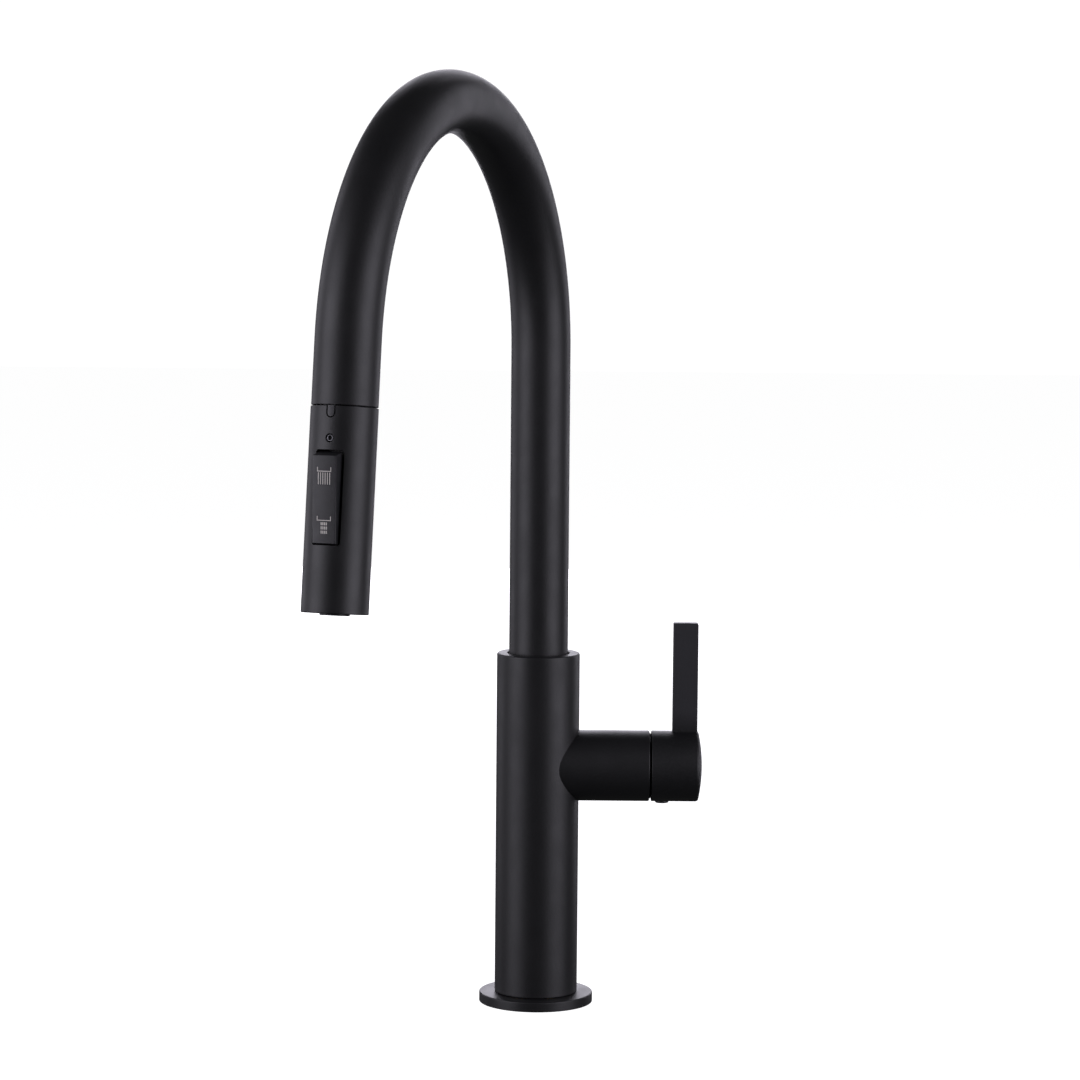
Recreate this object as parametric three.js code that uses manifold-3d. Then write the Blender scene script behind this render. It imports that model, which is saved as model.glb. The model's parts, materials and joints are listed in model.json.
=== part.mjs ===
// Single-handle kitchen faucet with a swivelling gooseneck spout and a pull-down spray wand.
// Millimetres, +Z up. The origin is the centre of the base ring's underside, the handle points
// along +X, and the user stands on the -Y side.

import * as THREE from 'three';
import { mergeVertices } from 'three/addons/utils/BufferGeometryUtils.js';
import Module from 'manifold-3d';

const wasm = await Module();
wasm.setup();

const radians = THREE.MathUtils.degToRad;

// ---------------------------------------------------------------- driving dimensions

// Clearance left between two pieces that meet.
const GAP = 0.3;

// How far a cutting tool runs past the face that it cuts.
const PAST = 1;

// Base ring on the worktop, with a gasket groove underneath.
const RING = { radius: 27.5, height: 4.8, bore: 17.3, edge: 0.6, groove: [21.7, 25.3, 1.7] };
const GASKET = { inner: 22, outer: 25, height: 1.2 };

// Threaded foot that the fixing shank screws into from below.
const INSERT = { outer: 16.9, bore: 13, bottom: 0.5, top: 24 };

// Column with its side boss for the cartridge.
const COLUMN = { radius: 20, bore: 17.2, top: 170.6, edge: 0.8, lipBore: 15, lipHeight: 2.5 };
const BOSS = { radius: 17.1, bore: 14.2, end: 54, edge: 0.8, height: 115.8 };

// Swivel of the spout tube inside the column.
const BUSH = { inner: 14.5, outer: 16.9, lower: [134, 144.6], upper: [156.9, 167] };
const SLEEVE = { inner: 14.5, outer: 16.6, from: 145, to: 156.5 };
const SLEEVE_RING = { height: 154.4, inner: 15.45, outer: 16.95, width: 1.5, grooveRadius: 15.15 };
const STOP_GROOVE = { radius: 15.5, height: 149.4, halfWidth: 2.5, spareAngle: 8.2 };
const STOP_SCREW = { radius: 2, hole: 2.3, tip: 15.9, head: 19.5 };
const STOP_SCREW_SOCKET = { radius: 1, depth: 2 };
const SWIVEL_HALF_RANGE = 60;

// Gooseneck: a riser, a circular arch and a short straight leg that leans outwards.
const TUBE = { radius: 14.2, bore: 12.7, bottom: 133, sides: 20, steps: [2, 29, 1] };
const ARCH = { radius: 115.3, centreHeight: 316.8 };
const LEG = { tilt: 6.57, length: 28 };
const REST_SWIVEL = 20.64;

// Pull-out hose inside the column, the arch and the leg.
const HOSE = { radius: 6.2, bottom: 46.3, end: 9.9, legPart: 1, sides: 10, steps: [6, 28, 1] };
const TAIL = { bottom: 28, nutTop: 38, top: 46, nut: 8, ferrule: 6.4, bore: 2.5 };

// Docking collar in the leg, with the key tongue that fits the wand's notch.
const DOCK = { inner: 9.5, outer: 12.4, from: 0.5, to: 12.5 };
const DOCK_GROOVE = { radius: 10.7, from: 4, to: 6 };
const DOCK_RING = { height: 5, inner: 9.25, outer: 10.4, width: 1.4 };
const TONGUE = { width: 3.2, length: 5.1, inner: 9.8, outer: 14.2 };

// Spray wand. Heights are measured along the wand from its joint with the leg, downwards negative.
const WAND = { radius: 14.35, bore: 12.6, top: -0.4, length: 87.2, edge: 0.5 };
const NOTCH = { width: 4, length: 5.5, corner: 1.95 };
const RECESS = { top: -18.9, bottom: -58.8, width: 12.8, corner: 1.2 };
const CORE = { radius: 12.3, top: -6.6, bottom: -75.6, neck: 9, neckTop: 8 };
const NUT_BORE = { radius: 7.7, floor: -6 };
const WATERWAY = { valveBore: 5.3, valveFloor: -17, radius: 3, chamber: 9.5, chamberTop: -70 };
const POCKET = { floor: 6.2, width: 13, margin: 0.3 };
const HOSE_NUT = { inner: 3, outer: 7.4, bottom: -4.2, top: 9.6 };
const HOSE_SEAL = { inner: 3.2, outer: 7.2, bottom: -5.7, top: -4.5 };
const CHECK_VALVE = { outer: 5, inner: 2, bottom: -16.5, top: -6.4 };
const WAND_SCREW = { height: -14, radius: 1.5, hole: 1.8, tip: 9, head: 13.9, pocket: 8.6 };
const WAND_SCREW_SOCKET = { radius: 0.6, depth: 1.5 };

// Rocker button, its pin and the diverter spool that it pushes.
const ROCKER = { pivotX: 9, pivotZ: -39, length: 37, width: 10.6, base: 1, face: 8, rake: 1.1, lean: 6.17 };
const ROCKER_RIB = { radius: 2.4, hole: 1.25, corner: 0.5 };
const ROCKER_PIN = { radius: 0.95, hole: 1.25, halfLength: 7.3, holeHalfLength: 7.6 };
const SPOOL = { height: -51, radius: 2.2, from: -6.5, to: 8.2, waist: 1.2, waistHalf: 2.6, bore: 2.9 };
const SPOOL_RING = { from: 4.7, to: 5.9, inner: 1.85, outer: 2.65, groove: 1.6, boreEnd: -9.5 };

// Spray face at the wand's bottom.
const PLATE = { radius: 12.2, top: -75.9, bottom: -82, hole: 6.7 };
const PLATE_PORT = { count: 8, radius: 0.9, circle: 9.2 };
const MAT = { inner: 7, outer: 11.3, top: -82.3, bottom: -85.4, tip: -86.5 };
const NOZZLE = { base: 0.75, tip: 0.5, root: 0.5, sides: 6, rings: [[8.3, 11], [10.1, 14]] };
const AERATOR = { radius: 6.4, top: -76, bottom: -88, rim: 1.2, face: -86.6 };
const AERATOR_CUP = { radius: 4.8, floor: -83 };
const FACE_RING = { inner: 11.6, outer: 12.3, top: -82.3, bottom: -86.8 };

// Ceramic cartridge, laid along +X inside the boss. Values are distances from the column's axis.
const SEAT = { radius: 13.6, from: 7.2, to: 24.5 };
const NIPPLE = { radius: 2.6, bore: 1.5, bottom: 88, top: 106.9, circle: 13.2, spread: 35, pocket: 2.9 };
const PORT = { circle: 4.8, radius: 1.8, inletAngle: 30 };
const BASE_SEAL = { radius: 12, from: 24.8, to: 26, hole: 2.3 };
const BASE = { radius: 12.2, from: 26.3, to: 29.3, hole: 2.1 };
const FIXED_DISC = { radius: 10.4, from: 29.6, to: 32.4, hole: 2 };
const MOVING_DISC = { radius: 8.6, from: 32.7, to: 34.9, pocket: 5.6, pocketDepth: 1.2 };
const DRIVER = { radius: 8.4, from: 35.2, to: 37.2, flat: 8, socket: 1.45 };
const ROTOR = { radius: 10, from: 37.5, to: 46.5, slotWidth: 5.8, slotLength: 10.8 };
const ROTOR_TAB = { inner: 8.3, outer: 9.7, halfHeight: 3, from: 35.4 };
const HOUSING = { outer: 12.5, inner: 10.7, from: 29.6, to: 48, hole: 7, lid: 1.2 };
const NUT = { outer: 13.9, inner: 8, from: 48.3, to: 51.5 };
const NUT_SLOT = { count: 6, width: 2.4, depth: 1.2, reach: 2 };
const COVER = { inner: 13, foot: 13.9, from: 51.8, step: 54.3, to: 55, ball: 21.4 };
const PIVOT = { x: 40, pin: 1, hole: 1.3, pinHalfLength: 9.3, ball: 2.5 };
const STEM = { reach: 3.7, tipBall: 1.1, neck: 0.9, shaft: 2.6, squareFrom: 53, square: 5.6, end: 61 };

// Lever handle: round hub with a spherical hollow about the tilt pivot, and a flat upright lever.
const HUB = { radius: 17.1, from: 55, edge: 77.9, corner: 1.5, end: 79.5, hollow: 21.9, rimEdge: 0.3 };
const HUB_SOCKET = { radius: 7, from: 57, to: 68.3, square: 6.2 };
const LEVER = { inner: 65, outer: 77.1, thickness: 5.5, top: 69.9, corner: 1, bevel: 0.4 };
const HANDLE_SCREW = { x: 61.2, radius: 1.9, hole: 2.2, from: 3.1, to: 12 };
const PLUG = { x: 60.3, radius: 3.3, hole: 3.6, from: 14.5, to: 17.9, floor: 14.2 };

// Facets around round pieces, and steps round an edge's corner or over the hub's dome.
const FINE = 40;
const MEDIUM = 22;
const COARSE = 12;
const SMALL = 8;
const CORNER_STEPS = 3;
const DOME_STEPS = 4;

// Vertices nearer than this are one vertex.
const WELD_DISTANCE = 1e-4;

// ---------------------------------------------------------------- finishes

function finish(color, roughness, metalness) {
  return { color, roughness, metalness, flatShading: true };
}

const BLACK_COAT = finish(0x1c1c1e, 0.5, 0.3);
const BLACK_PLASTIC = finish(0x17171a, 0.45, 0);
const GREY_PLASTIC = finish(0x8d9094, 0.5, 0);
const WHITE_PLASTIC = finish(0xdad9d2, 0.45, 0);
const BRASS = finish(0xb5924c, 0.35, 1);
const STEEL = finish(0xa9abae, 0.3, 1);
const CERAMIC = finish(0xe8e6df, 0.2, 0);
const RUBBER = finish(0x202022, 0.8, 0);
const SILICONE = finish(0x3a3b3d, 0.7, 0);
const BRAID = finish(0x3c3e42, 0.6, 0);

// ---------------------------------------------------------------- solid helpers

// Keeps only positions, shares the vertices of touching faces and drops faces without area.
function welded(geometry) {
  const bare = geometry.clone();
  bare.deleteAttribute('normal');
  bare.deleteAttribute('uv');
  const merged = mergeVertices(bare, WELD_DISTANCE);
  const kept = [];
  for (let i = 0; i < merged.index.count; i += 3) {
    const a = merged.index.getX(i);
    const b = merged.index.getX(i + 1);
    const c = merged.index.getX(i + 2);
    if (a !== b && b !== c && c !== a) kept.push(a, b, c);
  }
  merged.setIndex(kept);
  return merged;
}

function toSolid(geometry) {
  const closed = welded(geometry);
  const vertProperties = new Float32Array(closed.attributes.position.array);
  const triVerts = new Uint32Array(closed.index.array);
  return new wasm.Manifold(new wasm.Mesh({ numProp: 3, vertProperties, triVerts }));
}

function toGeometry(solid) {
  const mesh = solid.getMesh();
  const geometry = new THREE.BufferGeometry();
  geometry.setAttribute('position', new THREE.BufferAttribute(new Float32Array(mesh.vertProperties), 3));
  geometry.setIndex(new THREE.BufferAttribute(new Uint32Array(mesh.triVerts), 1));
  geometry.computeVertexNormals();
  return geometry;
}

function joined(first, ...others) {
  let solid = toSolid(first);
  for (const other of others) solid = solid.add(toSolid(other));
  return toGeometry(solid);
}

function cut(body, ...tools) {
  let solid = toSolid(body);
  for (const tool of tools) solid = solid.subtract(toSolid(tool));
  return toGeometry(solid);
}

function common(first, second) {
  return toGeometry(toSolid(first).intersect(toSolid(second)));
}

// A solid of revolution about Z from [radius, height] corners listed anticlockwise. The outline
// starts and ends on the axis, or is closed on itself.
function turned(corners, sides) {
  const outline = corners.map(([radius, height]) => new THREE.Vector2(radius, height));
  return new THREE.LatheGeometry(outline, sides).rotateX(Math.PI / 2);
}

function rod(radius, from, to, sides) {
  return turned([[0, from], [radius, from], [radius, to], [0, to]], sides);
}

function hollow(inner, outer, from, to, sides) {
  return turned([[inner, from], [outer, from], [outer, to], [inner, to], [inner, from]], sides);
}

// A ring with a hexagonal section, for O-rings.
function roundRing(inner, outer, height, width, sides) {
  const middle = (inner + outer) / 2;
  return turned([
    [inner, height - width / 4],
    [middle, height - width / 2],
    [outer, height - width / 4],
    [outer, height + width / 4],
    [middle, height + width / 2],
    [inner, height + width / 4],
    [inner, height - width / 4],
  ], sides);
}

// The hexagonal hole in a screw's end, about Z.
function hexSocket({ radius, depth }, end) {
  return rod(radius, end - depth, end + PAST, 6);
}

function box(low, high) {
  const size = new THREE.Vector3(...high).sub(new THREE.Vector3(...low));
  const middle = new THREE.Vector3(...high).add(new THREE.Vector3(...low)).multiplyScalar(0.5);
  return new THREE.BoxGeometry(size.x, size.y, size.z).translate(middle.x, middle.y, middle.z);
}

// Turns a piece made about Z so that it lies along +X, at the boss's height.
function alongBoss(geometry) {
  return geometry.rotateY(Math.PI / 2).translate(0, 0, BOSS.height);
}

function alongX(geometry) {
  return geometry.rotateY(Math.PI / 2);
}

function alongY(geometry) {
  return geometry.rotateX(-Math.PI / 2);
}

function rodBetween(start, end, radius, sides) {
  const from = new THREE.Vector3(...start);
  const way = new THREE.Vector3(...end).sub(from);
  const turn = new THREE.Quaternion().setFromUnitVectors(
    new THREE.Vector3(0, 0, 1),
    way.clone().normalize(),
  );
  return rod(radius, 0, way.length(), sides).applyQuaternion(turn).translate(from.x, from.y, from.z);
}

function add(group, name, geometry, look) {
  const mesh = new THREE.Mesh(geometry, new THREE.MeshStandardMaterial(look));
  mesh.name = name;
  group.add(mesh);
}

// ---------------------------------------------------------------- base and column

function baseFlange() {
  const [grooveInner, grooveOuter, grooveDepth] = RING.groove;
  return turned([
    [RING.bore, 0],
    [grooveInner, 0],
    [grooveInner, grooveDepth],
    [grooveOuter, grooveDepth],
    [grooveOuter, 0],
    [RING.radius, 0],
    [RING.radius, RING.height - RING.edge],
    [RING.radius - RING.edge, RING.height],
    [RING.bore, RING.height],
    [RING.bore, 0],
  ], FINE);
}

function columnOutside() {
  const bottom = RING.height + GAP;
  return turned([
    [0, bottom],
    [COLUMN.radius, bottom],
    [COLUMN.radius, COLUMN.top - COLUMN.edge],
    [COLUMN.radius - COLUMN.edge, COLUMN.top],
    [0, COLUMN.top],
  ], FINE);
}

function columnInside() {
  const lip = COLUMN.top - COLUMN.lipHeight;
  return turned([
    [0, 0],
    [COLUMN.bore, 0],
    [COLUMN.bore, lip],
    [COLUMN.lipBore, lip],
    [COLUMN.lipBore, COLUMN.top + PAST],
    [0, COLUMN.top + PAST],
  ], FINE);
}

function bossOutside() {
  return alongBoss(turned([
    [0, 0],
    [BOSS.radius, 0],
    [BOSS.radius, BOSS.end - BOSS.edge],
    [BOSS.radius - BOSS.edge, BOSS.end],
    [0, BOSS.end],
  ], FINE));
}

function bodyShell() {
  const outside = joined(columnOutside(), bossOutside());
  const bossBore = alongBoss(rod(BOSS.bore, 0, BOSS.end + PAST, FINE));
  const screwHole = alongY(rod(STOP_SCREW.hole, COLUMN.lipBore, COLUMN.radius + PAST, COARSE));
  screwHole.translate(0, 0, STOP_GROOVE.height);
  return cut(outside, columnInside(), bossBore, screwHole);
}

function stopScrew() {
  const shank = rod(STOP_SCREW.radius, STOP_SCREW.tip, STOP_SCREW.head, COARSE);
  const socket = hexSocket(STOP_SCREW_SOCKET, STOP_SCREW.head);
  return alongY(cut(shank, socket)).translate(0, 0, STOP_GROOVE.height);
}

function bush([from, to]) {
  return hollow(BUSH.inner, BUSH.outer, from, to, MEDIUM);
}

function mountingInsert() {
  return hollow(INSERT.bore, INSERT.outer, INSERT.bottom, INSERT.top, MEDIUM);
}

function addBase(group) {
  add(group, 'base_flange', baseFlange(), BLACK_COAT);
  add(group, 'deck_gasket', hollow(GASKET.inner, GASKET.outer, 0, GASKET.height, MEDIUM), RUBBER);
  add(group, 'mounting_insert', mountingInsert(), BRASS);
  add(group, 'body_shell', bodyShell(), BLACK_COAT);
  add(group, 'lower_bush', bush(BUSH.lower), GREY_PLASTIC);
  add(group, 'upper_bush', bush(BUSH.upper), GREY_PLASTIC);
  add(group, 'spout_retaining_screw', stopScrew(), STEEL);
}

// ---------------------------------------------------------------- valve

// Ports on the seat's face as [y, z] from the boss's axis: mixed water, then hot and cold.
function portCentres() {
  const across = PORT.circle * Math.cos(radians(PORT.inletAngle));
  const up = PORT.circle * Math.sin(radians(PORT.inletAngle));
  return [[0, -PORT.circle], [across, up], [-across, up]];
}

// Nipples under the seat as [x, y]: mixed water, then hot and cold.
function nippleCentres() {
  return [0, NIPPLE.spread, -NIPPLE.spread].map((angle) => [
    NIPPLE.circle * Math.cos(radians(angle)),
    NIPPLE.circle * Math.sin(radians(angle)),
  ]);
}

function valveSeat() {
  const block = alongBoss(rod(SEAT.radius, SEAT.from, SEAT.to, MEDIUM));
  const ports = portCentres();
  const passages = nippleCentres().flatMap(([x, y], i) => {
    const [portY, portZ] = ports[i];
    const height = BOSS.height + portZ;
    return [
      rodBetween([x, y, NIPPLE.bottom], [x, y, NIPPLE.top + GAP], NIPPLE.pocket, COARSE),
      rodBetween([x, y, NIPPLE.top], [x, y, height + PORT.radius / 2], PORT.radius, SMALL),
      rodBetween([x, y, height], [SEAT.to + PAST, portY, height], PORT.radius, SMALL),
    ];
  });
  return cut(block, ...passages);
}

function nipple([x, y]) {
  return hollow(NIPPLE.bore, NIPPLE.radius, NIPPLE.bottom, NIPPLE.top, COARSE).translate(x, y, 0);
}

// A round plate on the boss's axis with the three port holes.
function portedPlate(plate) {
  const holes = portCentres().map(([y, z]) => {
    const hole = alongBoss(rod(plate.hole, plate.from - PAST, plate.to + PAST, SMALL));
    return hole.translate(0, y, z);
  });
  return cut(alongBoss(rod(plate.radius, plate.from, plate.to, MEDIUM)), ...holes);
}

function movingDisc() {
  const pocketEnd = MOVING_DISC.from + MOVING_DISC.pocketDepth;
  return alongBoss(turned([
    [0, pocketEnd],
    [MOVING_DISC.pocket, pocketEnd],
    [MOVING_DISC.pocket, MOVING_DISC.from],
    [MOVING_DISC.radius, MOVING_DISC.from],
    [MOVING_DISC.radius, MOVING_DISC.to],
    [0, MOVING_DISC.to],
  ], MEDIUM));
}

function discDriver() {
  const plate = rod(DRIVER.radius, DRIVER.from, DRIVER.to, MEDIUM);
  const flats = box([-DRIVER.radius, -DRIVER.flat, 0], [DRIVER.radius, DRIVER.flat, DRIVER.to + PAST]);
  const socket = rod(DRIVER.socket, DRIVER.from - PAST, DRIVER.to + PAST, SMALL);
  return alongBoss(cut(common(plate, flats), socket));
}

function cartridgeRotor() {
  const tabs = [1, -1].map((side) => {
    const edges = [side * ROTOR_TAB.inner, side * ROTOR_TAB.outer].sort((a, b) => a - b);
    return box(
      [-ROTOR_TAB.halfHeight, edges[0], ROTOR_TAB.from],
      [ROTOR_TAB.halfHeight, edges[1], ROTOR.from + PAST],
    );
  });
  const drum = joined(rod(ROTOR.radius, ROTOR.from, ROTOR.to, MEDIUM), ...tabs);
  const slot = box(
    [-ROTOR.slotLength / 2, -ROTOR.slotWidth / 2, ROTOR.from - PAST],
    [ROTOR.slotLength / 2, ROTOR.slotWidth / 2, ROTOR.to + PAST],
  );
  const pinHole = alongY(rod(PIVOT.hole, -ROTOR.radius - PAST, ROTOR.radius + PAST, COARSE));
  return alongBoss(cut(drum, slot, pinHole.translate(0, 0, PIVOT.x)));
}

function cartridgeHousing() {
  return alongBoss(turned([
    [HOUSING.inner, HOUSING.from],
    [HOUSING.outer, HOUSING.from],
    [HOUSING.outer, HOUSING.to],
    [HOUSING.hole, HOUSING.to],
    [HOUSING.hole, HOUSING.to - HOUSING.lid],
    [HOUSING.inner, HOUSING.to - HOUSING.lid],
    [HOUSING.inner, HOUSING.from],
  ], MEDIUM));
}

function cartridgeNut() {
  const ring = hollow(NUT.inner, NUT.outer, NUT.from, NUT.to, FINE);
  const half = NUT_SLOT.width / 2;
  const slots = [];
  for (let i = 0; i < NUT_SLOT.count; i += 1) {
    const slot = box(
      [-half, NUT.inner - PAST, NUT.to - NUT_SLOT.depth],
      [half, NUT.inner + NUT_SLOT.reach, NUT.to + PAST],
    );
    slots.push(slot.rotateZ((i / NUT_SLOT.count) * 2 * Math.PI));
  }
  return alongBoss(cut(ring, ...slots));
}

// Ring that closes the gap between the boss and the hub. Its outside is a sphere about the pivot.
function coverRing() {
  const corners = [
    [COVER.inner, COVER.from],
    [COVER.foot, COVER.from],
    [COVER.foot, COVER.step],
  ];
  for (let i = 0; i <= CORNER_STEPS; i += 1) {
    const x = COVER.step + (COVER.to - COVER.step) * (i / CORNER_STEPS);
    corners.push([Math.sqrt(COVER.ball ** 2 - (x - PIVOT.x) ** 2), x]);
  }
  corners.push([COVER.inner, COVER.to], [COVER.inner, COVER.from]);
  return alongBoss(turned(corners, FINE));
}

function stemPin() {
  const pin = alongY(rod(PIVOT.pin, -PIVOT.pinHalfLength, PIVOT.pinHalfLength, COARSE));
  return pin.translate(PIVOT.x, 0, BOSS.height);
}

function cartridgeStem() {
  const tip = new THREE.SphereGeometry(STEM.tipBall, COARSE, SMALL).translate(0, 0, PIVOT.x - STEM.reach);
  const ball = new THREE.SphereGeometry(PIVOT.ball, COARSE, SMALL).translate(0, 0, PIVOT.x);
  const neck = rod(STEM.neck, PIVOT.x - STEM.reach, PIVOT.x, SMALL);
  const shaft = rod(STEM.shaft, PIVOT.x + PIVOT.pin, STEM.squareFrom + PAST, COARSE);
  const half = STEM.square / 2;
  const square = box([-half, -half, STEM.squareFrom], [half, half, STEM.end]);
  const pinHole = alongY(rod(PIVOT.hole, -PIVOT.pinHalfLength, PIVOT.pinHalfLength, COARSE));
  return alongBoss(cut(joined(tip, neck, ball, shaft, square), pinHole.translate(0, 0, PIVOT.x)));
}

function addValve(group) {
  const [mixed, hot, cold] = nippleCentres();
  add(group, 'valve_seat', valveSeat(), BRASS);
  add(group, 'mixed_water_nipple', nipple(mixed), BRASS);
  add(group, 'supply_nipple_hot', nipple(hot), BRASS);
  add(group, 'supply_nipple_cold', nipple(cold), BRASS);
  add(group, 'cartridge_base_seal', portedPlate(BASE_SEAL), RUBBER);
  add(group, 'cartridge_base', portedPlate(BASE), WHITE_PLASTIC);
  add(group, 'ceramic_disc_fixed', portedPlate(FIXED_DISC), CERAMIC);
  add(group, 'ceramic_disc_moving', movingDisc(), CERAMIC);
  add(group, 'disc_driver', discDriver(), WHITE_PLASTIC);
  add(group, 'cartridge_rotor', cartridgeRotor(), WHITE_PLASTIC);
  add(group, 'stem_pin', stemPin(), STEEL);
  add(group, 'cartridge_housing', cartridgeHousing(), WHITE_PLASTIC);
  add(group, 'cartridge_nut', cartridgeNut(), BRASS);
  add(group, 'cartridge_cover_ring', coverRing(), BLACK_PLASTIC);
  add(group, 'cartridge_stem', cartridgeStem(), BRASS);
}

// ---------------------------------------------------------------- lever handle

// Outline of the hub: straight side, rounded corner and a shallow dome.
function hubOutline() {
  const corners = [
    [0, HUB.from],
    [HUB.radius - HUB.rimEdge, HUB.from],
    [HUB.radius, HUB.from + HUB.rimEdge],
  ];
  for (let i = 0; i <= CORNER_STEPS; i += 1) {
    const angle = (i / CORNER_STEPS) * (Math.PI / 2);
    const radius = HUB.radius - HUB.corner + HUB.corner * Math.cos(angle);
    corners.push([radius, HUB.edge - HUB.corner + HUB.corner * Math.sin(angle)]);
  }
  const domeRadius = HUB.radius - HUB.corner;
  for (let i = 1; i <= DOME_STEPS; i += 1) {
    const share = 1 - i / DOME_STEPS;
    corners.push([domeRadius * share, HUB.edge + (HUB.end - HUB.edge) * (1 - share * share)]);
  }
  return corners;
}

// Flat lever in the X-Z plane, rounded at its outer top corner.
function leverBar() {
  const inset = LEVER.bevel;
  const left = LEVER.inner + inset;
  const right = LEVER.outer - inset;
  const top = LEVER.top - inset;
  const side = new THREE.Shape();
  side.moveTo(left, 0);
  side.lineTo(right, 0);
  side.lineTo(right, top - LEVER.corner);
  side.absarc(right - LEVER.corner, top - LEVER.corner, LEVER.corner, 0, Math.PI / 2);
  side.lineTo(left, top);
  const depth = LEVER.thickness - 2 * inset;
  const bar = new THREE.ExtrudeGeometry(side, {
    depth,
    bevelSize: inset,
    bevelThickness: inset,
    bevelSegments: 1,
    curveSegments: CORNER_STEPS,
    steps: 1,
  });
  return bar.translate(0, 0, -depth / 2).rotateX(Math.PI / 2).translate(0, 0, BOSS.height);
}

function leverHandle() {
  const outside = joined(alongBoss(turned(hubOutline(), FINE)), leverBar());
  const ball = new THREE.SphereGeometry(HUB.hollow, FINE, MEDIUM).translate(PIVOT.x, 0, BOSS.height);
  const collar = alongBoss(rod(HUB_SOCKET.radius, HUB_SOCKET.from, HUB_SOCKET.to, MEDIUM));
  const half = HUB_SOCKET.square / 2;
  const socket = alongBoss(box([-half, -half, HUB_SOCKET.from - PAST], [half, half, STEM.end + GAP]));
  const underside = BOSS.height - HUB.radius - PAST;
  const screwHole = rodBetween(
    [HANDLE_SCREW.x, 0, BOSS.height],
    [HANDLE_SCREW.x, 0, underside],
    HANDLE_SCREW.hole,
    COARSE,
  );
  const plugHole = rodBetween(
    [PLUG.x, 0, BOSS.height - PLUG.floor],
    [PLUG.x, 0, underside],
    PLUG.hole,
    COARSE,
  );
  return cut(joined(cut(outside, ball), collar), socket, screwHole, plugHole);
}

// A round piece that stands upright under the boss's axis, between two distances from that axis.
function radialPiece(piece) {
  return rodBetween(
    [piece.x, 0, BOSS.height - piece.to],
    [piece.x, 0, BOSS.height - piece.from],
    piece.radius,
    COARSE,
  );
}

function addHandle(group) {
  add(group, 'lever_handle', leverHandle(), BLACK_COAT);
  add(group, 'handle_set_screw', radialPiece(HANDLE_SCREW), STEEL);
  add(group, 'screw_plug', radialPiece(PLUG), BLACK_PLASTIC);
}

// ---------------------------------------------------------------- spout

// Centre line of the gooseneck in its own X-Z plane. Equal steps of the parameter fall on chosen
// stations: few on the straight stretches, many round the arch.
class SpoutLine extends THREE.Curve {
  constructor(bottom, legLength, steps) {
    super();
    this.bottom = bottom;
    this.legLength = legLength;
    this.parts = steps;
    this.steps = steps[0] + steps[1] + steps[2];
  }

  getPoint(t) {
    const [riser, arch, leg] = this.parts;
    const station = t * this.steps;
    const end = Math.PI - radians(LEG.tilt);
    if (station <= riser) {
      const share = station / riser;
      return new THREE.Vector3(0, 0, this.bottom + (ARCH.centreHeight - this.bottom) * share);
    }
    const turn = end * Math.min(1, (station - riser) / arch);
    const point = new THREE.Vector3(
      ARCH.radius * (1 - Math.cos(turn)),
      0,
      ARCH.centreHeight + ARCH.radius * Math.sin(turn),
    );
    if (station <= riser + arch) return point;
    const along = this.legLength * (station - riser - arch) / leg;
    return point.add(legDirection().multiplyScalar(along));
  }

  getPointAt(t) {
    return this.getPoint(t);
  }

  getTangentAt(t) {
    const [riser, arch] = this.parts;
    const share = (t * this.steps - riser) / arch;
    const turn = (Math.PI - radians(LEG.tilt)) * Math.min(1, Math.max(0, share));
    return new THREE.Vector3(Math.sin(turn), 0, Math.cos(turn));
  }
}

function legDirection() {
  return new THREE.Vector3(Math.sin(radians(LEG.tilt)), 0, -Math.cos(radians(LEG.tilt)));
}

function circlePath(radius, sides, shape) {
  for (let i = 0; i < sides; i += 1) {
    const angle = (i / sides) * 2 * Math.PI;
    const x = radius * Math.cos(angle);
    const y = radius * Math.sin(angle);
    if (i === 0) shape.moveTo(x, y);
    else shape.lineTo(x, y);
  }
  shape.closePath();
  return shape;
}

function sweep(line, outer, inner, sides) {
  const section = circlePath(outer, sides, new THREE.Shape());
  if (inner > 0) section.holes.push(circlePath(inner, sides, new THREE.Path()));
  return new THREE.ExtrudeGeometry(section, { extrudePath: line, steps: line.steps, curveSegments: 1 });
}

function spoutTube() {
  return sweep(new SpoutLine(TUBE.bottom, LEG.length, TUBE.steps), TUBE.radius, TUBE.bore, TUBE.sides);
}

// The part of a ring between two angles either side of -X, as the swivel stop's groove.
function stopGroove() {
  const half = radians(SWIVEL_HALF_RANGE + STOP_GROOVE.spareAngle);
  const sector = new THREE.Shape();
  sector.absarc(0, 0, SLEEVE.outer + PAST, Math.PI - half, Math.PI + half, false);
  sector.absarc(0, 0, STOP_GROOVE.radius, Math.PI + half, Math.PI - half, true);
  const depth = 2 * STOP_GROOVE.halfWidth;
  const groove = new THREE.ExtrudeGeometry(sector, { depth, bevelEnabled: false, curveSegments: MEDIUM });
  return groove.translate(0, 0, STOP_GROOVE.height - STOP_GROOVE.halfWidth);
}

function swivelSleeve() {
  const sleeve = hollow(SLEEVE.inner, SLEEVE.outer, SLEEVE.from, SLEEVE.to, MEDIUM);
  const half = SLEEVE_RING.width / 2 + GAP;
  const low = SLEEVE_RING.height - half;
  const high = SLEEVE_RING.height + half;
  const ringGroove = hollow(SLEEVE_RING.grooveRadius, SLEEVE.outer + PAST, low, high, MEDIUM);
  return cut(sleeve, stopGroove(), ringGroove);
}

function swivelRing() {
  const { inner, outer, height, width } = SLEEVE_RING;
  return roundRing(inner, outer, height, width, MEDIUM);
}

function tailCoupling() {
  const nut = rod(TAIL.nut, TAIL.bottom, TAIL.nutTop, 6);
  const ferrule = rod(TAIL.ferrule, TAIL.nutTop - PAST, TAIL.top, COARSE);
  return cut(joined(nut, ferrule), rod(TAIL.bore, TAIL.bottom - PAST, TAIL.top + PAST, SMALL));
}

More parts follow.
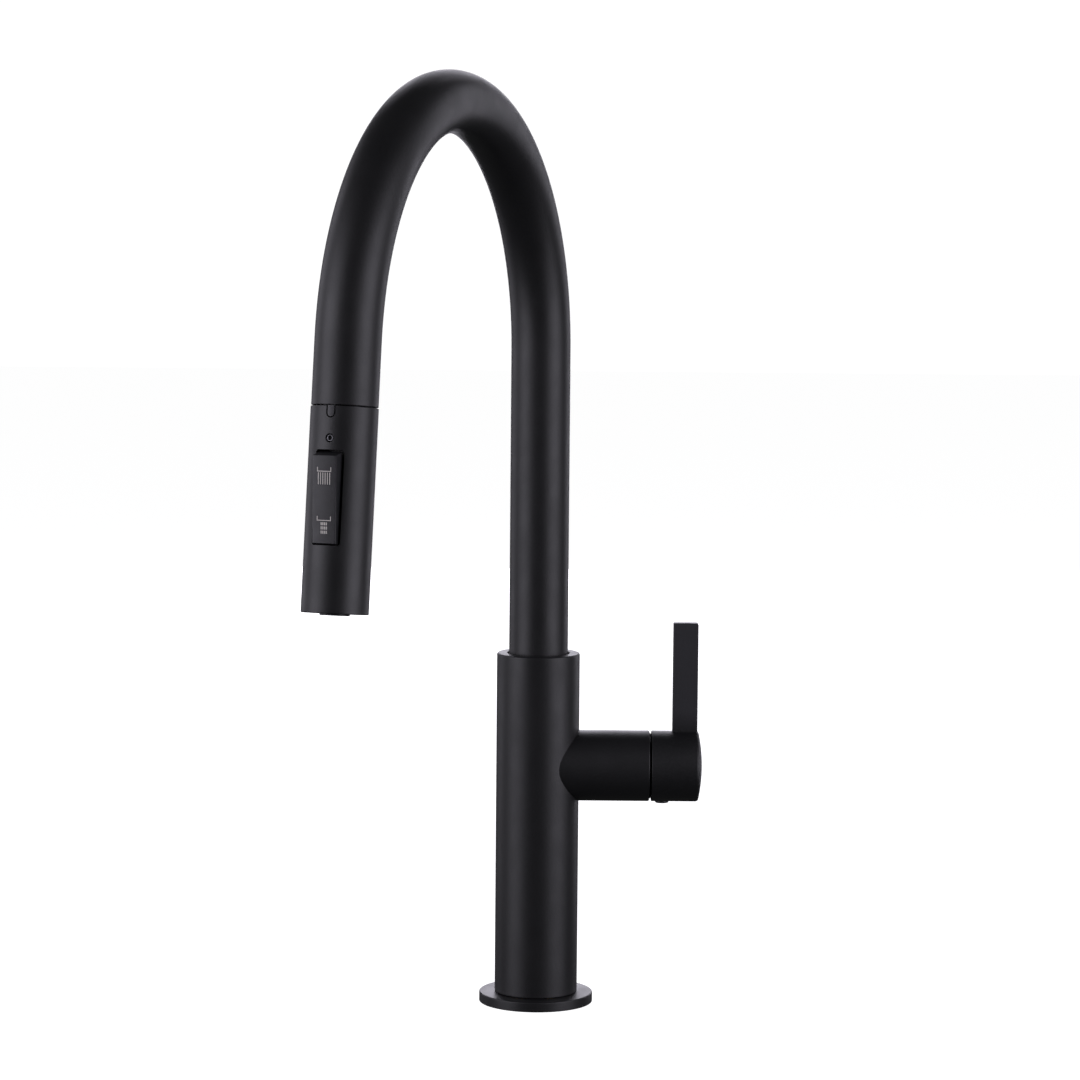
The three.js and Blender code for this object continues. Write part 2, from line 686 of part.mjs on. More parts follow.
function pullHose() {
  return sweep(new SpoutLine(HOSE.bottom, HOSE.legPart, HOSE.steps), HOSE.radius, 0, HOSE.sides);
}

function addSpout(group) {
  add(group, 'spout_tube', spoutTube(), BLACK_COAT);
  add(group, 'swivel_sleeve', swivelSleeve(), BRASS);
  add(group, 'swivel_o_ring', swivelRing(), RUBBER);
  add(group, 'hose_tail_coupling', tailCoupling(), BRASS);
  add(group, 'pull_hose', pullHose(), BRAID);
}

// ---------------------------------------------------------------- docking collar and wand

// Everything below is made about the leg's axis: Z runs back up the leg from the joint, and X
// points away from the column.

function dockingCollar() {
  const ring = hollow(DOCK.inner, DOCK.outer, DOCK.from, DOCK.to, MEDIUM);
  const half = TONGUE.width / 2;
  const low = -TONGUE.length + half;
  const strip = box([TONGUE.inner, -half, low], [DOCK.outer - GAP, half, DOCK.from + PAST]);
  const outer = box([TONGUE.inner, -half, low], [TONGUE.outer + PAST, half, -GAP]);
  const round = alongX(rod(half, TONGUE.inner, TONGUE.outer + PAST, COARSE)).translate(0, 0, low);
  const tongue = common(joined(outer, round), rod(TONGUE.outer, -TONGUE.length - PAST, 0, FINE));
  const groove = hollow(DOCK.inner - PAST, DOCK_GROOVE.radius, DOCK_GROOVE.from, DOCK_GROOVE.to, MEDIUM);
  return cut(joined(ring, strip, tongue), groove);
}

function dockingRing() {
  const { inner, outer, height, width } = DOCK_RING;
  return roundRing(inner, outer, height, width, MEDIUM);
}

// A window through the wand's outward wall, as a rounded rectangle pushed out along +X.
function wallWindow(width, low, high, corner) {
  const frame = new THREE.Shape();
  const half = width / 2;
  frame.moveTo(low + corner, -half);
  frame.lineTo(high - corner, -half);
  frame.absarc(high - corner, -half + corner, corner, -Math.PI / 2, 0);
  frame.absarc(high - corner, half - corner, corner, 0, Math.PI / 2);
  frame.absarc(low + corner, half - corner, corner, Math.PI / 2, Math.PI);
  frame.absarc(low + corner, -half + corner, corner, Math.PI, 1.5 * Math.PI);
  const block = new THREE.ExtrudeGeometry(frame, {
    depth: WAND.radius,
    bevelEnabled: false,
    curveSegments: CORNER_STEPS,
  });
  return block.rotateY(-Math.PI / 2).translate(WAND.radius + PAST, 0, 0);
}

function wandShell() {
  const bottom = -WAND.length;
  const tube = turned([
    [WAND.bore, bottom],
    [WAND.radius - WAND.edge, bottom],
    [WAND.radius, bottom + WAND.edge],
    [WAND.radius, WAND.top],
    [WAND.bore, WAND.top],
    [WAND.bore, bottom],
  ], FINE);
  const notch = wallWindow(NOTCH.width, -NOTCH.length, NOTCH.width, NOTCH.corner);
  const recess = wallWindow(RECESS.width, RECESS.bottom, RECESS.top, RECESS.corner);
  const screwHole = alongX(rod(WAND_SCREW.hole, WAND_SCREW.tip, WAND.radius + PAST, COARSE));
  return cut(tube, notch, recess, screwHole.translate(0, 0, WAND_SCREW.height));
}

function coreOutline() {
  return turned([
    [0, CORE.bottom],
    [CORE.radius, CORE.bottom],
    [CORE.radius, CORE.top],
    [CORE.neck, CORE.top],
    [CORE.neck, CORE.neckTop],
    [0, CORE.neckTop],
  ], MEDIUM);
}

function coreWaterway() {
  return turned([
    [0, CORE.bottom - PAST],
    [WATERWAY.chamber, CORE.bottom - PAST],
    [WATERWAY.chamber, WATERWAY.chamberTop],
    [WATERWAY.radius, WATERWAY.chamberTop],
    [WATERWAY.radius, WATERWAY.valveFloor],
    [WATERWAY.valveBore, WATERWAY.valveFloor],
    [WATERWAY.valveBore, NUT_BORE.floor],
    [NUT_BORE.radius, NUT_BORE.floor],
    [NUT_BORE.radius, CORE.neckTop + PAST],
    [0, CORE.neckTop + PAST],
  ], COARSE);
}

function wandCore() {
  const half = POCKET.width / 2;
  const pocket = box(
    [POCKET.floor, -half, RECESS.bottom - POCKET.margin],
    [CORE.radius + PAST, half, RECESS.top + POCKET.margin],
  );
  const spoolBore = alongX(rod(SPOOL.bore, SPOOL_RING.boreEnd, POCKET.floor + PAST, COARSE));
  const screwHole = alongX(rod(WAND_SCREW.hole, WAND_SCREW.pocket, CORE.radius + PAST, COARSE));
  const { hole, holeHalfLength } = ROCKER_PIN;
  const pinHole = alongY(rod(hole, -holeHalfLength, holeHalfLength, COARSE));
  return cut(
    coreOutline(),
    coreWaterway(),
    pocket,
    spoolBore.translate(0, 0, SPOOL.height),
    screwHole.translate(0, 0, WAND_SCREW.height),
    pinHole.translate(ROCKER.pivotX, 0, ROCKER.pivotZ),
  );
}

function wandScrew() {
  const shank = rod(WAND_SCREW.radius, WAND_SCREW.tip, WAND_SCREW.head, COARSE);
  const socket = hexSocket(WAND_SCREW_SOCKET, WAND_SCREW.head);
  return alongX(cut(shank, socket)).translate(0, 0, WAND_SCREW.height);
}

function rockerPin() {
  const pin = alongY(rod(ROCKER_PIN.radius, -ROCKER_PIN.halfLength, ROCKER_PIN.halfLength, COARSE));
  return pin.translate(ROCKER.pivotX, 0, ROCKER.pivotZ);
}

// Rocker button: a long bar that leans out at its top, on a rib around its pin. Its ends are raked,
// so that it is longer at its base than at its face.
function rockerButton() {
  const half = ROCKER.length / 2;
  const corner = ROCKER_RIB.corner;
  const side = new THREE.Shape();
  side.moveTo(ROCKER.base, -half - ROCKER.rake);
  side.lineTo(ROCKER.face - corner, -half);
  side.absarc(ROCKER.face - corner, -half + corner, corner, -Math.PI / 2, 0);
  side.absarc(ROCKER.face - corner, half - corner, corner, 0, Math.PI / 2);
  side.lineTo(ROCKER.base, half + ROCKER.rake);
  const depth = ROCKER.width;
  const bar = new THREE.ExtrudeGeometry(side, {
    depth,
    bevelEnabled: false,
    curveSegments: CORNER_STEPS,
  });
  bar.translate(0, 0, -depth / 2).rotateX(Math.PI / 2);
  const rib = alongY(rod(ROCKER_RIB.radius, -depth / 2, depth / 2, COARSE));
  const hole = alongY(rod(ROCKER_RIB.hole, -depth, depth, COARSE));
  const button = cut(joined(bar, rib), hole);
  return button.rotateY(radians(ROCKER.lean)).translate(ROCKER.pivotX, 0, ROCKER.pivotZ);
}

function diverterSpool() {
  const corners = [
    [0, SPOOL.from],
    [SPOOL.radius, SPOOL.from],
    [SPOOL.radius, -SPOOL.waistHalf],
    [SPOOL.waist, -SPOOL.waistHalf],
    [SPOOL.waist, SPOOL.waistHalf],
    [SPOOL.radius, SPOOL.waistHalf],
    [SPOOL.radius, SPOOL_RING.from - GAP],
    [SPOOL_RING.groove, SPOOL_RING.from - GAP],
    [SPOOL_RING.groove, SPOOL_RING.to + GAP],
    [SPOOL.radius, SPOOL_RING.to + GAP],
    [SPOOL.radius, SPOOL.to],
    [0, SPOOL.to],
  ];
  return alongX(turned(corners, COARSE)).translate(0, 0, SPOOL.height);
}

function spoolRing() {
  const { inner, outer, from, to } = SPOOL_RING;
  const ring = roundRing(inner, outer, (from + to) / 2, to - from, COARSE);
  return alongX(ring).translate(0, 0, SPOOL.height);
}

function sprayPlate() {
  const plate = hollow(PLATE.hole, PLATE.radius, PLATE.bottom, PLATE.top, MEDIUM);
  const ports = [];
  for (let i = 0; i < PLATE_PORT.count; i += 1) {
    const angle = (i / PLATE_PORT.count) * 2 * Math.PI;
    const x = PLATE_PORT.circle * Math.cos(angle);
    const y = PLATE_PORT.circle * Math.sin(angle);
    ports.push(rod(PLATE_PORT.radius, PLATE.bottom - PAST, PLATE.top + PAST, SMALL).translate(x, y, 0));
  }
  return cut(plate, ...ports);
}

function nozzleMat() {
  const nozzles = NOZZLE.rings.flatMap(([circle, count]) => Array.from({ length: count }, (_, i) => {
    const angle = (i / count) * 2 * Math.PI;
    const cone = turned([
      [0, MAT.tip],
      [NOZZLE.tip, MAT.tip],
      [NOZZLE.base, MAT.bottom + NOZZLE.root],
      [0, MAT.bottom + NOZZLE.root],
    ], NOZZLE.sides);
    return cone.translate(circle * Math.cos(angle), circle * Math.sin(angle), 0);
  }));
  return joined(hollow(MAT.inner, MAT.outer, MAT.bottom, MAT.top, MEDIUM), ...nozzles);
}

function aeratorInsert() {
  return turned([
    [0, AERATOR.face],
    [AERATOR.radius - AERATOR.rim, AERATOR.face],
    [AERATOR.radius - AERATOR.rim, AERATOR.bottom],
    [AERATOR.radius, AERATOR.bottom],
    [AERATOR.radius, AERATOR.top],
    [AERATOR_CUP.radius, AERATOR.top],
    [AERATOR_CUP.radius, AERATOR_CUP.floor],
    [0, AERATOR_CUP.floor],
  ], MEDIUM);
}

function addLegEnd(group) {
  add(group, 'docking_collar', dockingCollar(), BLACK_PLASTIC);
  add(group, 'docking_o_ring', dockingRing(), RUBBER);
  const hoseTop = LEG.length - HOSE.legPart - GAP;
  add(group, 'pull_hose_leg', rod(HOSE.radius, HOSE.end, hoseTop, HOSE.sides), BRAID);
}

function sleeve({ inner, outer, bottom, top }, sides) {
  return hollow(inner, outer, bottom, top, sides);
}

function addWand(group) {
  add(group, 'wand_shell', wandShell(), BLACK_COAT);
  add(group, 'wand_core', wandCore(), BLACK_PLASTIC);
  add(group, 'hose_nut', sleeve(HOSE_NUT, COARSE), BRASS);
  add(group, 'hose_seal', sleeve(HOSE_SEAL, COARSE), RUBBER);
  add(group, 'check_valve', sleeve(CHECK_VALVE, COARSE), GREY_PLASTIC);
  add(group, 'wand_set_screw', wandScrew(), STEEL);
  add(group, 'rocker_pin', rockerPin(), STEEL);
  add(group, 'rocker_button', rockerButton(), BLACK_PLASTIC);
  add(group, 'diverter_spool', diverterSpool(), GREY_PLASTIC);
  add(group, 'spool_o_ring', spoolRing(), RUBBER);
  add(group, 'spray_plate', sprayPlate(), GREY_PLASTIC);
  add(group, 'nozzle_mat', nozzleMat(), SILICONE);
  add(group, 'aerator_insert', aeratorInsert(), BLACK_PLASTIC);
  add(group, 'face_ring', sleeve(FACE_RING, MEDIUM), BLACK_PLASTIC);
}

// ---------------------------------------------------------------- assembly

const faucet = new THREE.Group();
addBase(faucet);
addValve(faucet);
addHandle(faucet);

const spoutPlane = new THREE.Group();
spoutPlane.rotation.z = radians(-90 - REST_SWIVEL);
faucet.add(spoutPlane);
addSpout(spoutPlane);

const wandFrame = new THREE.Group();
wandFrame.position.copy(new SpoutLine(0, LEG.length, [1, 1, 1]).getPoint(1));
wandFrame.rotation.y = -radians(LEG.tilt);
spoutPlane.add(wandFrame);
addLegEnd(wandFrame);
addWand(wandFrame);

export default faucet;
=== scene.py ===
"""Looks of the single-handle pull-down kitchen faucet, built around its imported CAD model. Metres, +Z up."""

import json
import math
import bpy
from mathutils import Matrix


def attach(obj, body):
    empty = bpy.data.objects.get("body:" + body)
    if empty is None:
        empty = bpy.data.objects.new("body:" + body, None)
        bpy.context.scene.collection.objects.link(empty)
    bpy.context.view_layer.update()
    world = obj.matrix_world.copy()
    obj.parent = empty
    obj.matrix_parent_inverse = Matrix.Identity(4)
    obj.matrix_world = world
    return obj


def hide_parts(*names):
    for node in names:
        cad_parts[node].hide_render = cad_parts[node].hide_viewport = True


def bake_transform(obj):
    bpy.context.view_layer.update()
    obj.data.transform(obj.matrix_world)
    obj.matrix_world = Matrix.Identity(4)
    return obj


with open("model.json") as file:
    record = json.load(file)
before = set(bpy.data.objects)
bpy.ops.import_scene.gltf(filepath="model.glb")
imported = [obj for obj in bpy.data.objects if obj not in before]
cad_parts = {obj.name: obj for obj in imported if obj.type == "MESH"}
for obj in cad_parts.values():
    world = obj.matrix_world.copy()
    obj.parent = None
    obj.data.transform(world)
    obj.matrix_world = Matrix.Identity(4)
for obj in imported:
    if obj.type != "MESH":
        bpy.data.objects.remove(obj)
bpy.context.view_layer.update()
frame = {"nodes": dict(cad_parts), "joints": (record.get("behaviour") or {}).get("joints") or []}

from types import SimpleNamespace as Dim

import bmesh
import bpy
from mathutils import Matrix, Vector

JOINTS = {joint["name"]: joint for joint in frame["joints"]}
MM = 0.001


def add(name, data):
    """A new object in the scene, made of its data."""
    made = bpy.data.objects.new(name, data)
    bpy.context.scene.collection.objects.link(made)
    return made


# ---------------------------------------------------------------- camera

# Metres and degrees, and millimetres for the lens and its sensor.
CAMERA = Dim(distance=1.7535, height=0.3964, pitch=5.578, yaw=0.0094, roll=0.4814, lens=122.03, sensor=36)
CAMERA_RANGE = (0.05, 60)


def make_camera():
    data = bpy.data.cameras.new("camera")
    data.lens = CAMERA.lens
    data.sensor_width = CAMERA.sensor
    data.clip_start, data.clip_end = CAMERA_RANGE
    camera = add("camera", data)
    look = Matrix.Rotation(math.radians(90 - CAMERA.pitch), 4, "X")
    turn = Matrix.Rotation(math.radians(-CAMERA.yaw), 4, "Z")
    roll = Matrix.Rotation(math.radians(CAMERA.roll), 4, "Z")
    place = Matrix.Translation((0, -CAMERA.distance, CAMERA.height))
    camera.matrix_world = place @ turn @ look @ roll
    bpy.context.scene.camera = camera


# ---------------------------------------------------------------- driving dimensions

# Points around a circle.
FINEST = 160
FINE = 128
ROUND = 96
MEDIUM = 72
SMALL = 36
TINY = 20

# Edges are a ring's corner radii: inner bottom, outer bottom, outer top, inner top.
RING = Dim(
    radius=27.5 * MM, height=4.8 * MM, bore=17.3 * MM, foot=0.25 * MM, edge=0.6 * MM, inner_edge=0.2 * MM,
)
RING_GROOVE = Dim(inner=21.7 * MM, outer=25.3 * MM, depth=1.7 * MM, edge=0.1 * MM)
GASKET = Dim(inner=22 * MM, outer=25 * MM, bottom=0, top=1.2 * MM, edges=(0.3 * MM,) * 4)
INSERT = Dim(outer=16.9 * MM, bore=13 * MM, bottom=0.5 * MM, top=24 * MM, edge=0.4 * MM)
INSERT_THREAD = Dim(pitch=1.5 * MM, depth=0.6 * MM)

COLUMN = Dim(radius=20 * MM, bore=17.2 * MM, bottom=5.1 * MM, top=170.6 * MM, foot=0.3 * MM, edge=0.8 * MM)
LIP = Dim(bore=15 * MM, height=2.5 * MM, chamfer=0.35 * MM)
BOSS = Dim(radius=17.1 * MM, bore=14.2 * MM, end=54 * MM, edge=0.6 * MM, chamfer=0.4 * MM)
STOP_SCREW = Dim(radius=2 * MM, hole=2.3 * MM, tip=15.9 * MM, head=19.5 * MM, socket=1 * MM, depth=2 * MM)
STOP_SCREW_HEIGHT = 149.4 * MM

TUBE = Dim(radius=14.2 * MM, bore=12.7 * MM, bottom=133 * MM, edge=0.25 * MM)
ARCH = Dim(radius=115.3 * MM, centre=316.8 * MM, steps=110)
LEG = Dim(tilt=math.radians(6.57), length=28 * MM)
HOSE = Dim(radius=6.2 * MM, bottom=9.9 * MM, top=26.7 * MM, steps=90, sides=64)
DOCK = Dim(inner=9.5 * MM, outer=12.4 * MM, bottom=0.5 * MM, top=12.5 * MM, edges=(0.4 * MM,) * 4)
DOCK_GROOVE = Dim(radius=10.7 * MM, bottom=4 * MM, top=6 * MM)
TONGUE = Dim(width=3.2 * MM, length=5.1 * MM, inner=9.8 * MM, outer=14.2 * MM, gap=0.3 * MM, edge=0.15 * MM)
TONGUE_STRIP = Dim(inset=0.2 * MM, outer=12.1 * MM)

# Heights in the wand are measured up its own axis from the joint with the leg.
WAND = Dim(
    inner=12.6 * MM, outer=14.35 * MM, top=-0.4 * MM, bottom=-87.2 * MM,
    edges=(0.2 * MM, 0.5 * MM, 0.3 * MM, 0.2 * MM),
)
NOTCH = Dim(width=4 * MM, length=5.5 * MM, low_corner=1.98 * MM, high_corner=0.1 * MM)
RECESS = Dim(top=-18.9 * MM, bottom=-58.8 * MM, width=12.8 * MM, corner=1.2 * MM)
# Softens the edges of the openings in the wand's shell.
CUT_EDGE = 0.14 * MM
CORE = Dim(radius=12.3 * MM, top=-6.6 * MM, bottom=-75.6 * MM, neck=9 * MM, neck_top=8 * MM)
CORE_EDGE = Dim(bottom=0.3 * MM, top=0.4 * MM, neck=0.5 * MM)
CORE_BORE = Dim(nut=7.7 * MM, nut_floor=-6 * MM, water=3 * MM, chamber=9.5 * MM, chamber_top=-70 * MM)
POCKET = Dim(floor=6.2 * MM, width=13 * MM, margin=0.3 * MM)
HOSE_NUT = Dim(
    bore=3 * MM, radius=7.4 * MM, bottom=-4.2 * MM, top=9.85 * MM, collar=6.6 * MM, chamfer=0.5 * MM,
)
WAND_SCREW = Dim(radius=1.5 * MM, hole=1.8 * MM, tip=9 * MM, head=13.9 * MM, socket=0.9 * MM, depth=1.5 * MM)
WAND_SCREW_HEIGHT = -14 * MM
# How far the screw's hole in the core runs past its tip.
WAND_SCREW_ROOM = 0.4 * MM

ROCKER = Dim(length=37 * MM, width=10.6 * MM, base=1 * MM, face=8 * MM, rake=1.1 * MM)
ROCKER_LEAN = math.radians(6.17)
ROCKER_EDGE = Dim(end=0.4 * MM, soft=0.25 * MM, crown=0.2 * MM)
ROCKER_RIB = Dim(radius=2.4 * MM, hole=1.25 * MM)

# Heights of the icons are measured up the rocker from its pivot.
# A dot's gap and fill are shares of the dots' pitch.
ICON = Dim(line=0.34 * MM, proud=0.03 * MM, sunk=0.12 * MM, bracket=6.4 * MM, arm=1.9 * MM, step=0.6 * MM)
SPRAY_ICON = Dim(bracket=11.65 * MM, top=11.3 * MM, bottom=6.3 * MM, width=5.5 * MM, lines=6)
STREAM_ICON = Dim(bracket=-8.85 * MM, top=-9.2 * MM, bottom=-14.5 * MM, width=3.1 * MM, columns=4, rows=3)
STREAM_DOT = Dim(column_gap=0.18, column_fill=0.64, row_gap=0.15, row_fill=0.7)

MAT = Dim(
    inner=7 * MM, outer=11.3 * MM, top=-82.3 * MM, bottom=-85.4 * MM,
    edges=(0.3 * MM, 0.5 * MM, 0.2 * MM, 0.2 * MM),
)
NOZZLE = Dim(
    base=0.75 * MM, tip=0.5 * MM, taper=0.08 * MM, hole=0.25 * MM,
    root=0.4 * MM, end=-86.5 * MM, chamfer=0.2 * MM, depth=0.8 * MM,
)
NOZZLE_RINGS = ((8.3 * MM, 11), (10.1 * MM, 14))
AERATOR = Dim(
    inner=5.2 * MM, outer=6.4 * MM, top=-76 * MM, bottom=-88 * MM,
    edges=(0.2 * MM, 0.3 * MM, 0.3 * MM, 0.2 * MM),
)
AERATOR_SLOT = Dim(count=3, half=0.5 * MM, depth=0.6 * MM)
GRID = Dim(radius=5.8 * MM, bottom=-86.6 * MM, top=-84.6 * MM, pitch=1.25 * MM, cell=0.5 * MM, reach=3)
FACE_RING = Dim(
    inner=11.6 * MM, outer=12.3 * MM, top=-82.3 * MM, bottom=-86.8 * MM,
    edges=(0.15 * MM, 0.3 * MM, 0, 0),
)

HUB = Dim(radius=17.1 * MM, start=55 * MM, edge=77.9 * MM, corner=1.5 * MM, end=79.5 * MM, rim=0.3 * MM)
# Two balls about the handle's axis: the hollow in the hub, and the outside of the cover ring.
HUB_HOLLOW = 21.9 * MM
COVER_BALL = 21.4 * MM
COVER = Dim(inner=13 * MM, foot=13.9 * MM, start=51.8 * MM, step=54.3 * MM, end=55 * MM, edge=0.2 * MM)
HUB_SOCKET = Dim(radius=7 * MM, start=57 * MM, end=68.3 * MM, square=6.2 * MM, depth=61.3 * MM)
LEVER = Dim(
    inner=65 * MM, outer=77.1 * MM, thickness=5.5 * MM, top=69.9 * MM, corner=1.1 * MM, edge=0.45 * MM,
)
HANDLE_SCREW = Dim(x=61.2 * MM, hole=2.2 * MM)
# The plug points down, so its bottom is further from the handle's axis than its top.
PLUG = Dim(x=60.3 * MM, radius=3.3 * MM, top=14.5 * MM, bottom=17.9 * MM, top_edge=0.2 * MM, edge=0.5 * MM)
PLUG_HOLE = Dim(radius=3.6 * MM, floor=14.2 * MM)

# How far a cutting tool runs past the face that it cuts.
PAST = 1 * MM

# ---------------------------------------------------------------- places, from the frame's joints

HANDLE_AXIS = Vector(JOINTS["handle_turn"]["pos_m"])
BOSS_HEIGHT = HANDLE_AXIS.z
BOSS_PLACE = Matrix.Translation((0, 0, BOSS_HEIGHT)) @ Matrix.Rotation(math.radians(90), 4, "Y")

WAND_UP = -Vector(JOINTS["wand_pull"]["axis"]).normalized()
SPOUT_HEADING = math.atan2(-WAND_UP.y, -WAND_UP.x)
SPOUT_PLACE = Matrix.Rotation(SPOUT_HEADING, 4, "Z")


def arch_point(turn):
    """A point on the arch's centre line in the spout's own X-Z plane, by its turn from the riser."""
    return Vector((ARCH.radius * (1 - math.cos(turn)), 0, ARCH.centre + ARCH.radius * math.sin(turn)))


ARCH_END = math.pi - LEG.tilt
LEG_WAY = Vector((math.sin(ARCH_END), 0, math.cos(ARCH_END)))
WAND_JOINT = arch_point(ARCH_END) + LEG_WAY * LEG.length
WAND_PLACE = SPOUT_PLACE @ Matrix.Translation(WAND_JOINT) @ Matrix.Rotation(-LEG.tilt, 4, "Y")

ROCKER_PIVOT = WAND_PLACE.inverted() @ Vector(JOINTS["rocker_tilt"]["pos_m"])
ROCKER_PLACE = WAND_PLACE @ Matrix.Translation(ROCKER_PIVOT) @ Matrix.Rotation(ROCKER_LEAN, 4, "Y")

ALONG_X = Matrix.Rotation(math.radians(90), 4, "Y")
ALONG_Y = Matrix.Rotation(math.radians(-90), 4, "X")
STOP_SCREW_PLACE = Matrix.Translation((0, 0, STOP_SCREW_HEIGHT)) @ ALONG_Y
WAND_SCREW_PLACE = WAND_PLACE @ Matrix.Translation((0, 0, WAND_SCREW_HEIGHT)) @ ALONG_X

# ---------------------------------------------------------------- world, lights and floor

# Colour and strength of what the camera sees behind the faucet, and of what the faucet reflects.
WORLD = Dim(seen=((1, 1, 1), 1.05), room=((0.96, 0.97, 1), 0.05))


def make_world():
    """White to the camera, and a dim grey room to everything that reflects it."""
    scene = bpy.context.scene
    scene.view_settings.view_transform = "Standard"
    world = bpy.data.worlds.new("studio")
    scene.world = world
    world.use_nodes = True
    tree = world.node_tree
    tree.nodes.clear()
    ray = tree.nodes.new("ShaderNodeLightPath")
    seen = tree.nodes.new("ShaderNodeBackground")
    room = tree.nodes.new("ShaderNodeBackground")
    for background, (colour, strength) in ((seen, WORLD.seen), (room, WORLD.room)):
        background.inputs["Color"].default_value = (*colour, 1)
        background.inputs["Strength"].default_value = strength
    either = tree.nodes.new("ShaderNodeMixShader")
    output = tree.nodes.new("ShaderNodeOutputWorld")
    tree.links.new(ray.outputs["Is Camera Ray"], either.inputs["Fac"])
    tree.links.new(room.outputs[0], either.inputs[1])
    tree.links.new(seen.outputs[0], either.inputs[2])
    tree.links.new(either.outputs[0], output.inputs["Surface"])


# Slightly cool and pink, as the photograph's greys are.
LIGHT_TINT = (1.03, 1.0, 1.12)


def softbox(name, azimuth, distance, height, size, power, aim=0.24):
    """A panel at an azimuth in degrees to the camera's right, aimed at a height on the column's axis."""
    data = bpy.data.lights.new(name, "AREA")
    data.shape = "RECTANGLE"
    data.size, data.size_y = size
    data.energy = power
    data.color = LIGHT_TINT
    light = add(name, data)
    angle = math.radians(azimuth)
    light.location = (distance * math.sin(angle), -distance * math.cos(angle), height)
    way = Vector((0, 0, aim)) - light.location
    light.rotation_euler = way.to_track_quat("-Z", "Y").to_euler()
    light.visible_camera = False


def make_lights():
    softbox("key_left", -62, 1.5, 0.45, (1.2, 1.6), 15)
    softbox("key_right", 58, 1.64, 0.45, (1.35, 1.6), 19)
    softbox("rim_left", -122, 1.6, 0.5, (1.0, 1.4), 4.5)
    softbox("rim_right", 136, 1.6, 0.5, (0.5, 1.4), 4)
    softbox("back", 180, 2.0, 0.8, (1.2, 1.6), 20, aim=0.8)


FLOOR = Dim(half=6, grey=0.5, roughness=0.9, glow=0.96)


def make_floor():
    """A worktop that glows nearly white, and that the faucet doesn't reflect."""
    mesh = bpy.data.meshes.new("floor")
    corners = [(x * FLOOR.half, y * FLOOR.half, 0) for x, y in ((-1, -1), (1, -1), (1, 1), (-1, 1))]
    mesh.from_pydata(corners, [], [(0, 1, 2, 3)])
    floor = add("floor", mesh)
    finish = bpy.data.materials.new("floor_paint")
    finish.use_nodes = True
    shader = finish.node_tree.nodes["Principled BSDF"]
    shader.inputs["Base Color"].default_value = (FLOOR.grey, FLOOR.grey, FLOOR.grey, 1)
    shader.inputs["Roughness"].default_value = FLOOR.roughness
    shader.inputs["Emission Color"].default_value = (1, 1, 1, 1)
    shader.inputs["Emission Strength"].default_value = FLOOR.glow
    mesh.materials.append(finish)
    floor.visible_diffuse = False
    floor.visible_glossy = False


# ---------------------------------------------------------------- materials


# Most of a noise's values lie between these two.
NOISE_LOW, NOISE_HIGH = 0.3, 0.7


class Finish:
    """A node material around one Principled shader, with its own noise, bump and mixing helpers."""

    def __init__(self, name, roughness, metallic=0.0, specular=0.5):
        self.material = bpy.data.materials.new(name)
        self.material.use_nodes = True
        self.tree = self.material.node_tree
        self.shader = self.tree.nodes["Principled BSDF"]
        self.shader.inputs["Roughness"].default_value = roughness
        self.shader.inputs["Metallic"].default_value = metallic
        self.shader.inputs["Specular IOR Level"].default_value = specular
        self.place = self.tree.nodes.new("ShaderNodeTexCoord").outputs["Object"]

    def feed(self, socket, value):
        """Links an input to another node's output, or sets it to a plain value."""
        if isinstance(value, bpy.types.NodeSocket):
            self.tree.links.new(value, socket)
        else:
            socket.default_value = value

    def node(self, kind, **inputs):
        """A node with its inputs fed by name; an underscore stands for a space."""
        made = self.tree.nodes.new(kind)
        for name, value in inputs.items():
            self.feed(made.inputs[name.replace("_", " ")], value)
        return made

    def operation(self, kind, name, *values):
        """A math node with its inputs fed in order."""
        made = self.tree.nodes.new(kind)
        made.operation = name
        for socket, value in zip(made.inputs, values):
            self.feed(socket, value)
        return made

    def stretched(self, scale):
        return self.node("ShaderNodeMapping", Vector=self.place, Scale=scale).outputs["Vector"]

    def noise(self, grain, detail=2.0, place=None):
        """Noise whose features are about grain metres across."""
        made = self.node("ShaderNodeTexNoise", Vector=place or self.place, Scale=1 / grain, Detail=detail)
        return made.outputs["Fac"]

    def cells(self, grain):
        return self.node("ShaderNodeTexVoronoi", Vector=self.place, Scale=1 / grain).outputs["Distance"]

    def spread(self, value, start, end, low, high):
        """A value that goes from low to high while another goes from start to end."""
        ends = {"From_Min": start, "From_Max": end, "To_Min": low, "To_Max": high}
        return self.node("ShaderNodeMapRange", Value=value, **ends).outputs["Result"]

    def math(self, name, *values):
        return self.operation("ShaderNodeMath", name, *values).outputs["Value"]

    def dot(self, direction, origin=(0, 0, 0)):
        """How far a surface point lies along a direction from an origin."""
        away = self.operation("ShaderNodeVectorMath", "SUBTRACT", self.place, origin).outputs["Vector"]
        return self.operation("ShaderNodeVectorMath", "DOT_PRODUCT", away, direction).outputs["Value"]

    def colours(self, value, low, high):
        """Base colour that goes from low to high with a noise value."""
        ramp = self.tree.nodes.new("ShaderNodeValToRGB")
        for element, position, colour in zip(ramp.color_ramp.elements, (NOISE_LOW, NOISE_HIGH), (low, high)):
            element.position = position
            element.color = (*colour, 1)
        self.tree.links.new(value, ramp.inputs["Fac"])
        self.tree.links.new(ramp.outputs["Color"], self.shader.inputs["Base Color"])

    def roughness(self, value, low, high):
        """Roughness that goes from low to high with a noise value."""
        result = self.spread(value, NOISE_LOW, NOISE_HIGH, low, high)
        self.tree.links.new(result, self.shader.inputs["Roughness"])

    def bump(self, *layers):
        """Bumps from (height value, depth in metres) layers, laid over one another."""
        normal = None
        for height, depth in layers:
            made = self.node("ShaderNodeBump", Height=height, Strength=1.0, Distance=depth)
            if normal:
                self.tree.links.new(normal, made.inputs["Normal"])
            normal = made.outputs["Normal"]
        self.tree.links.new(normal, self.shader.inputs["Normal"])


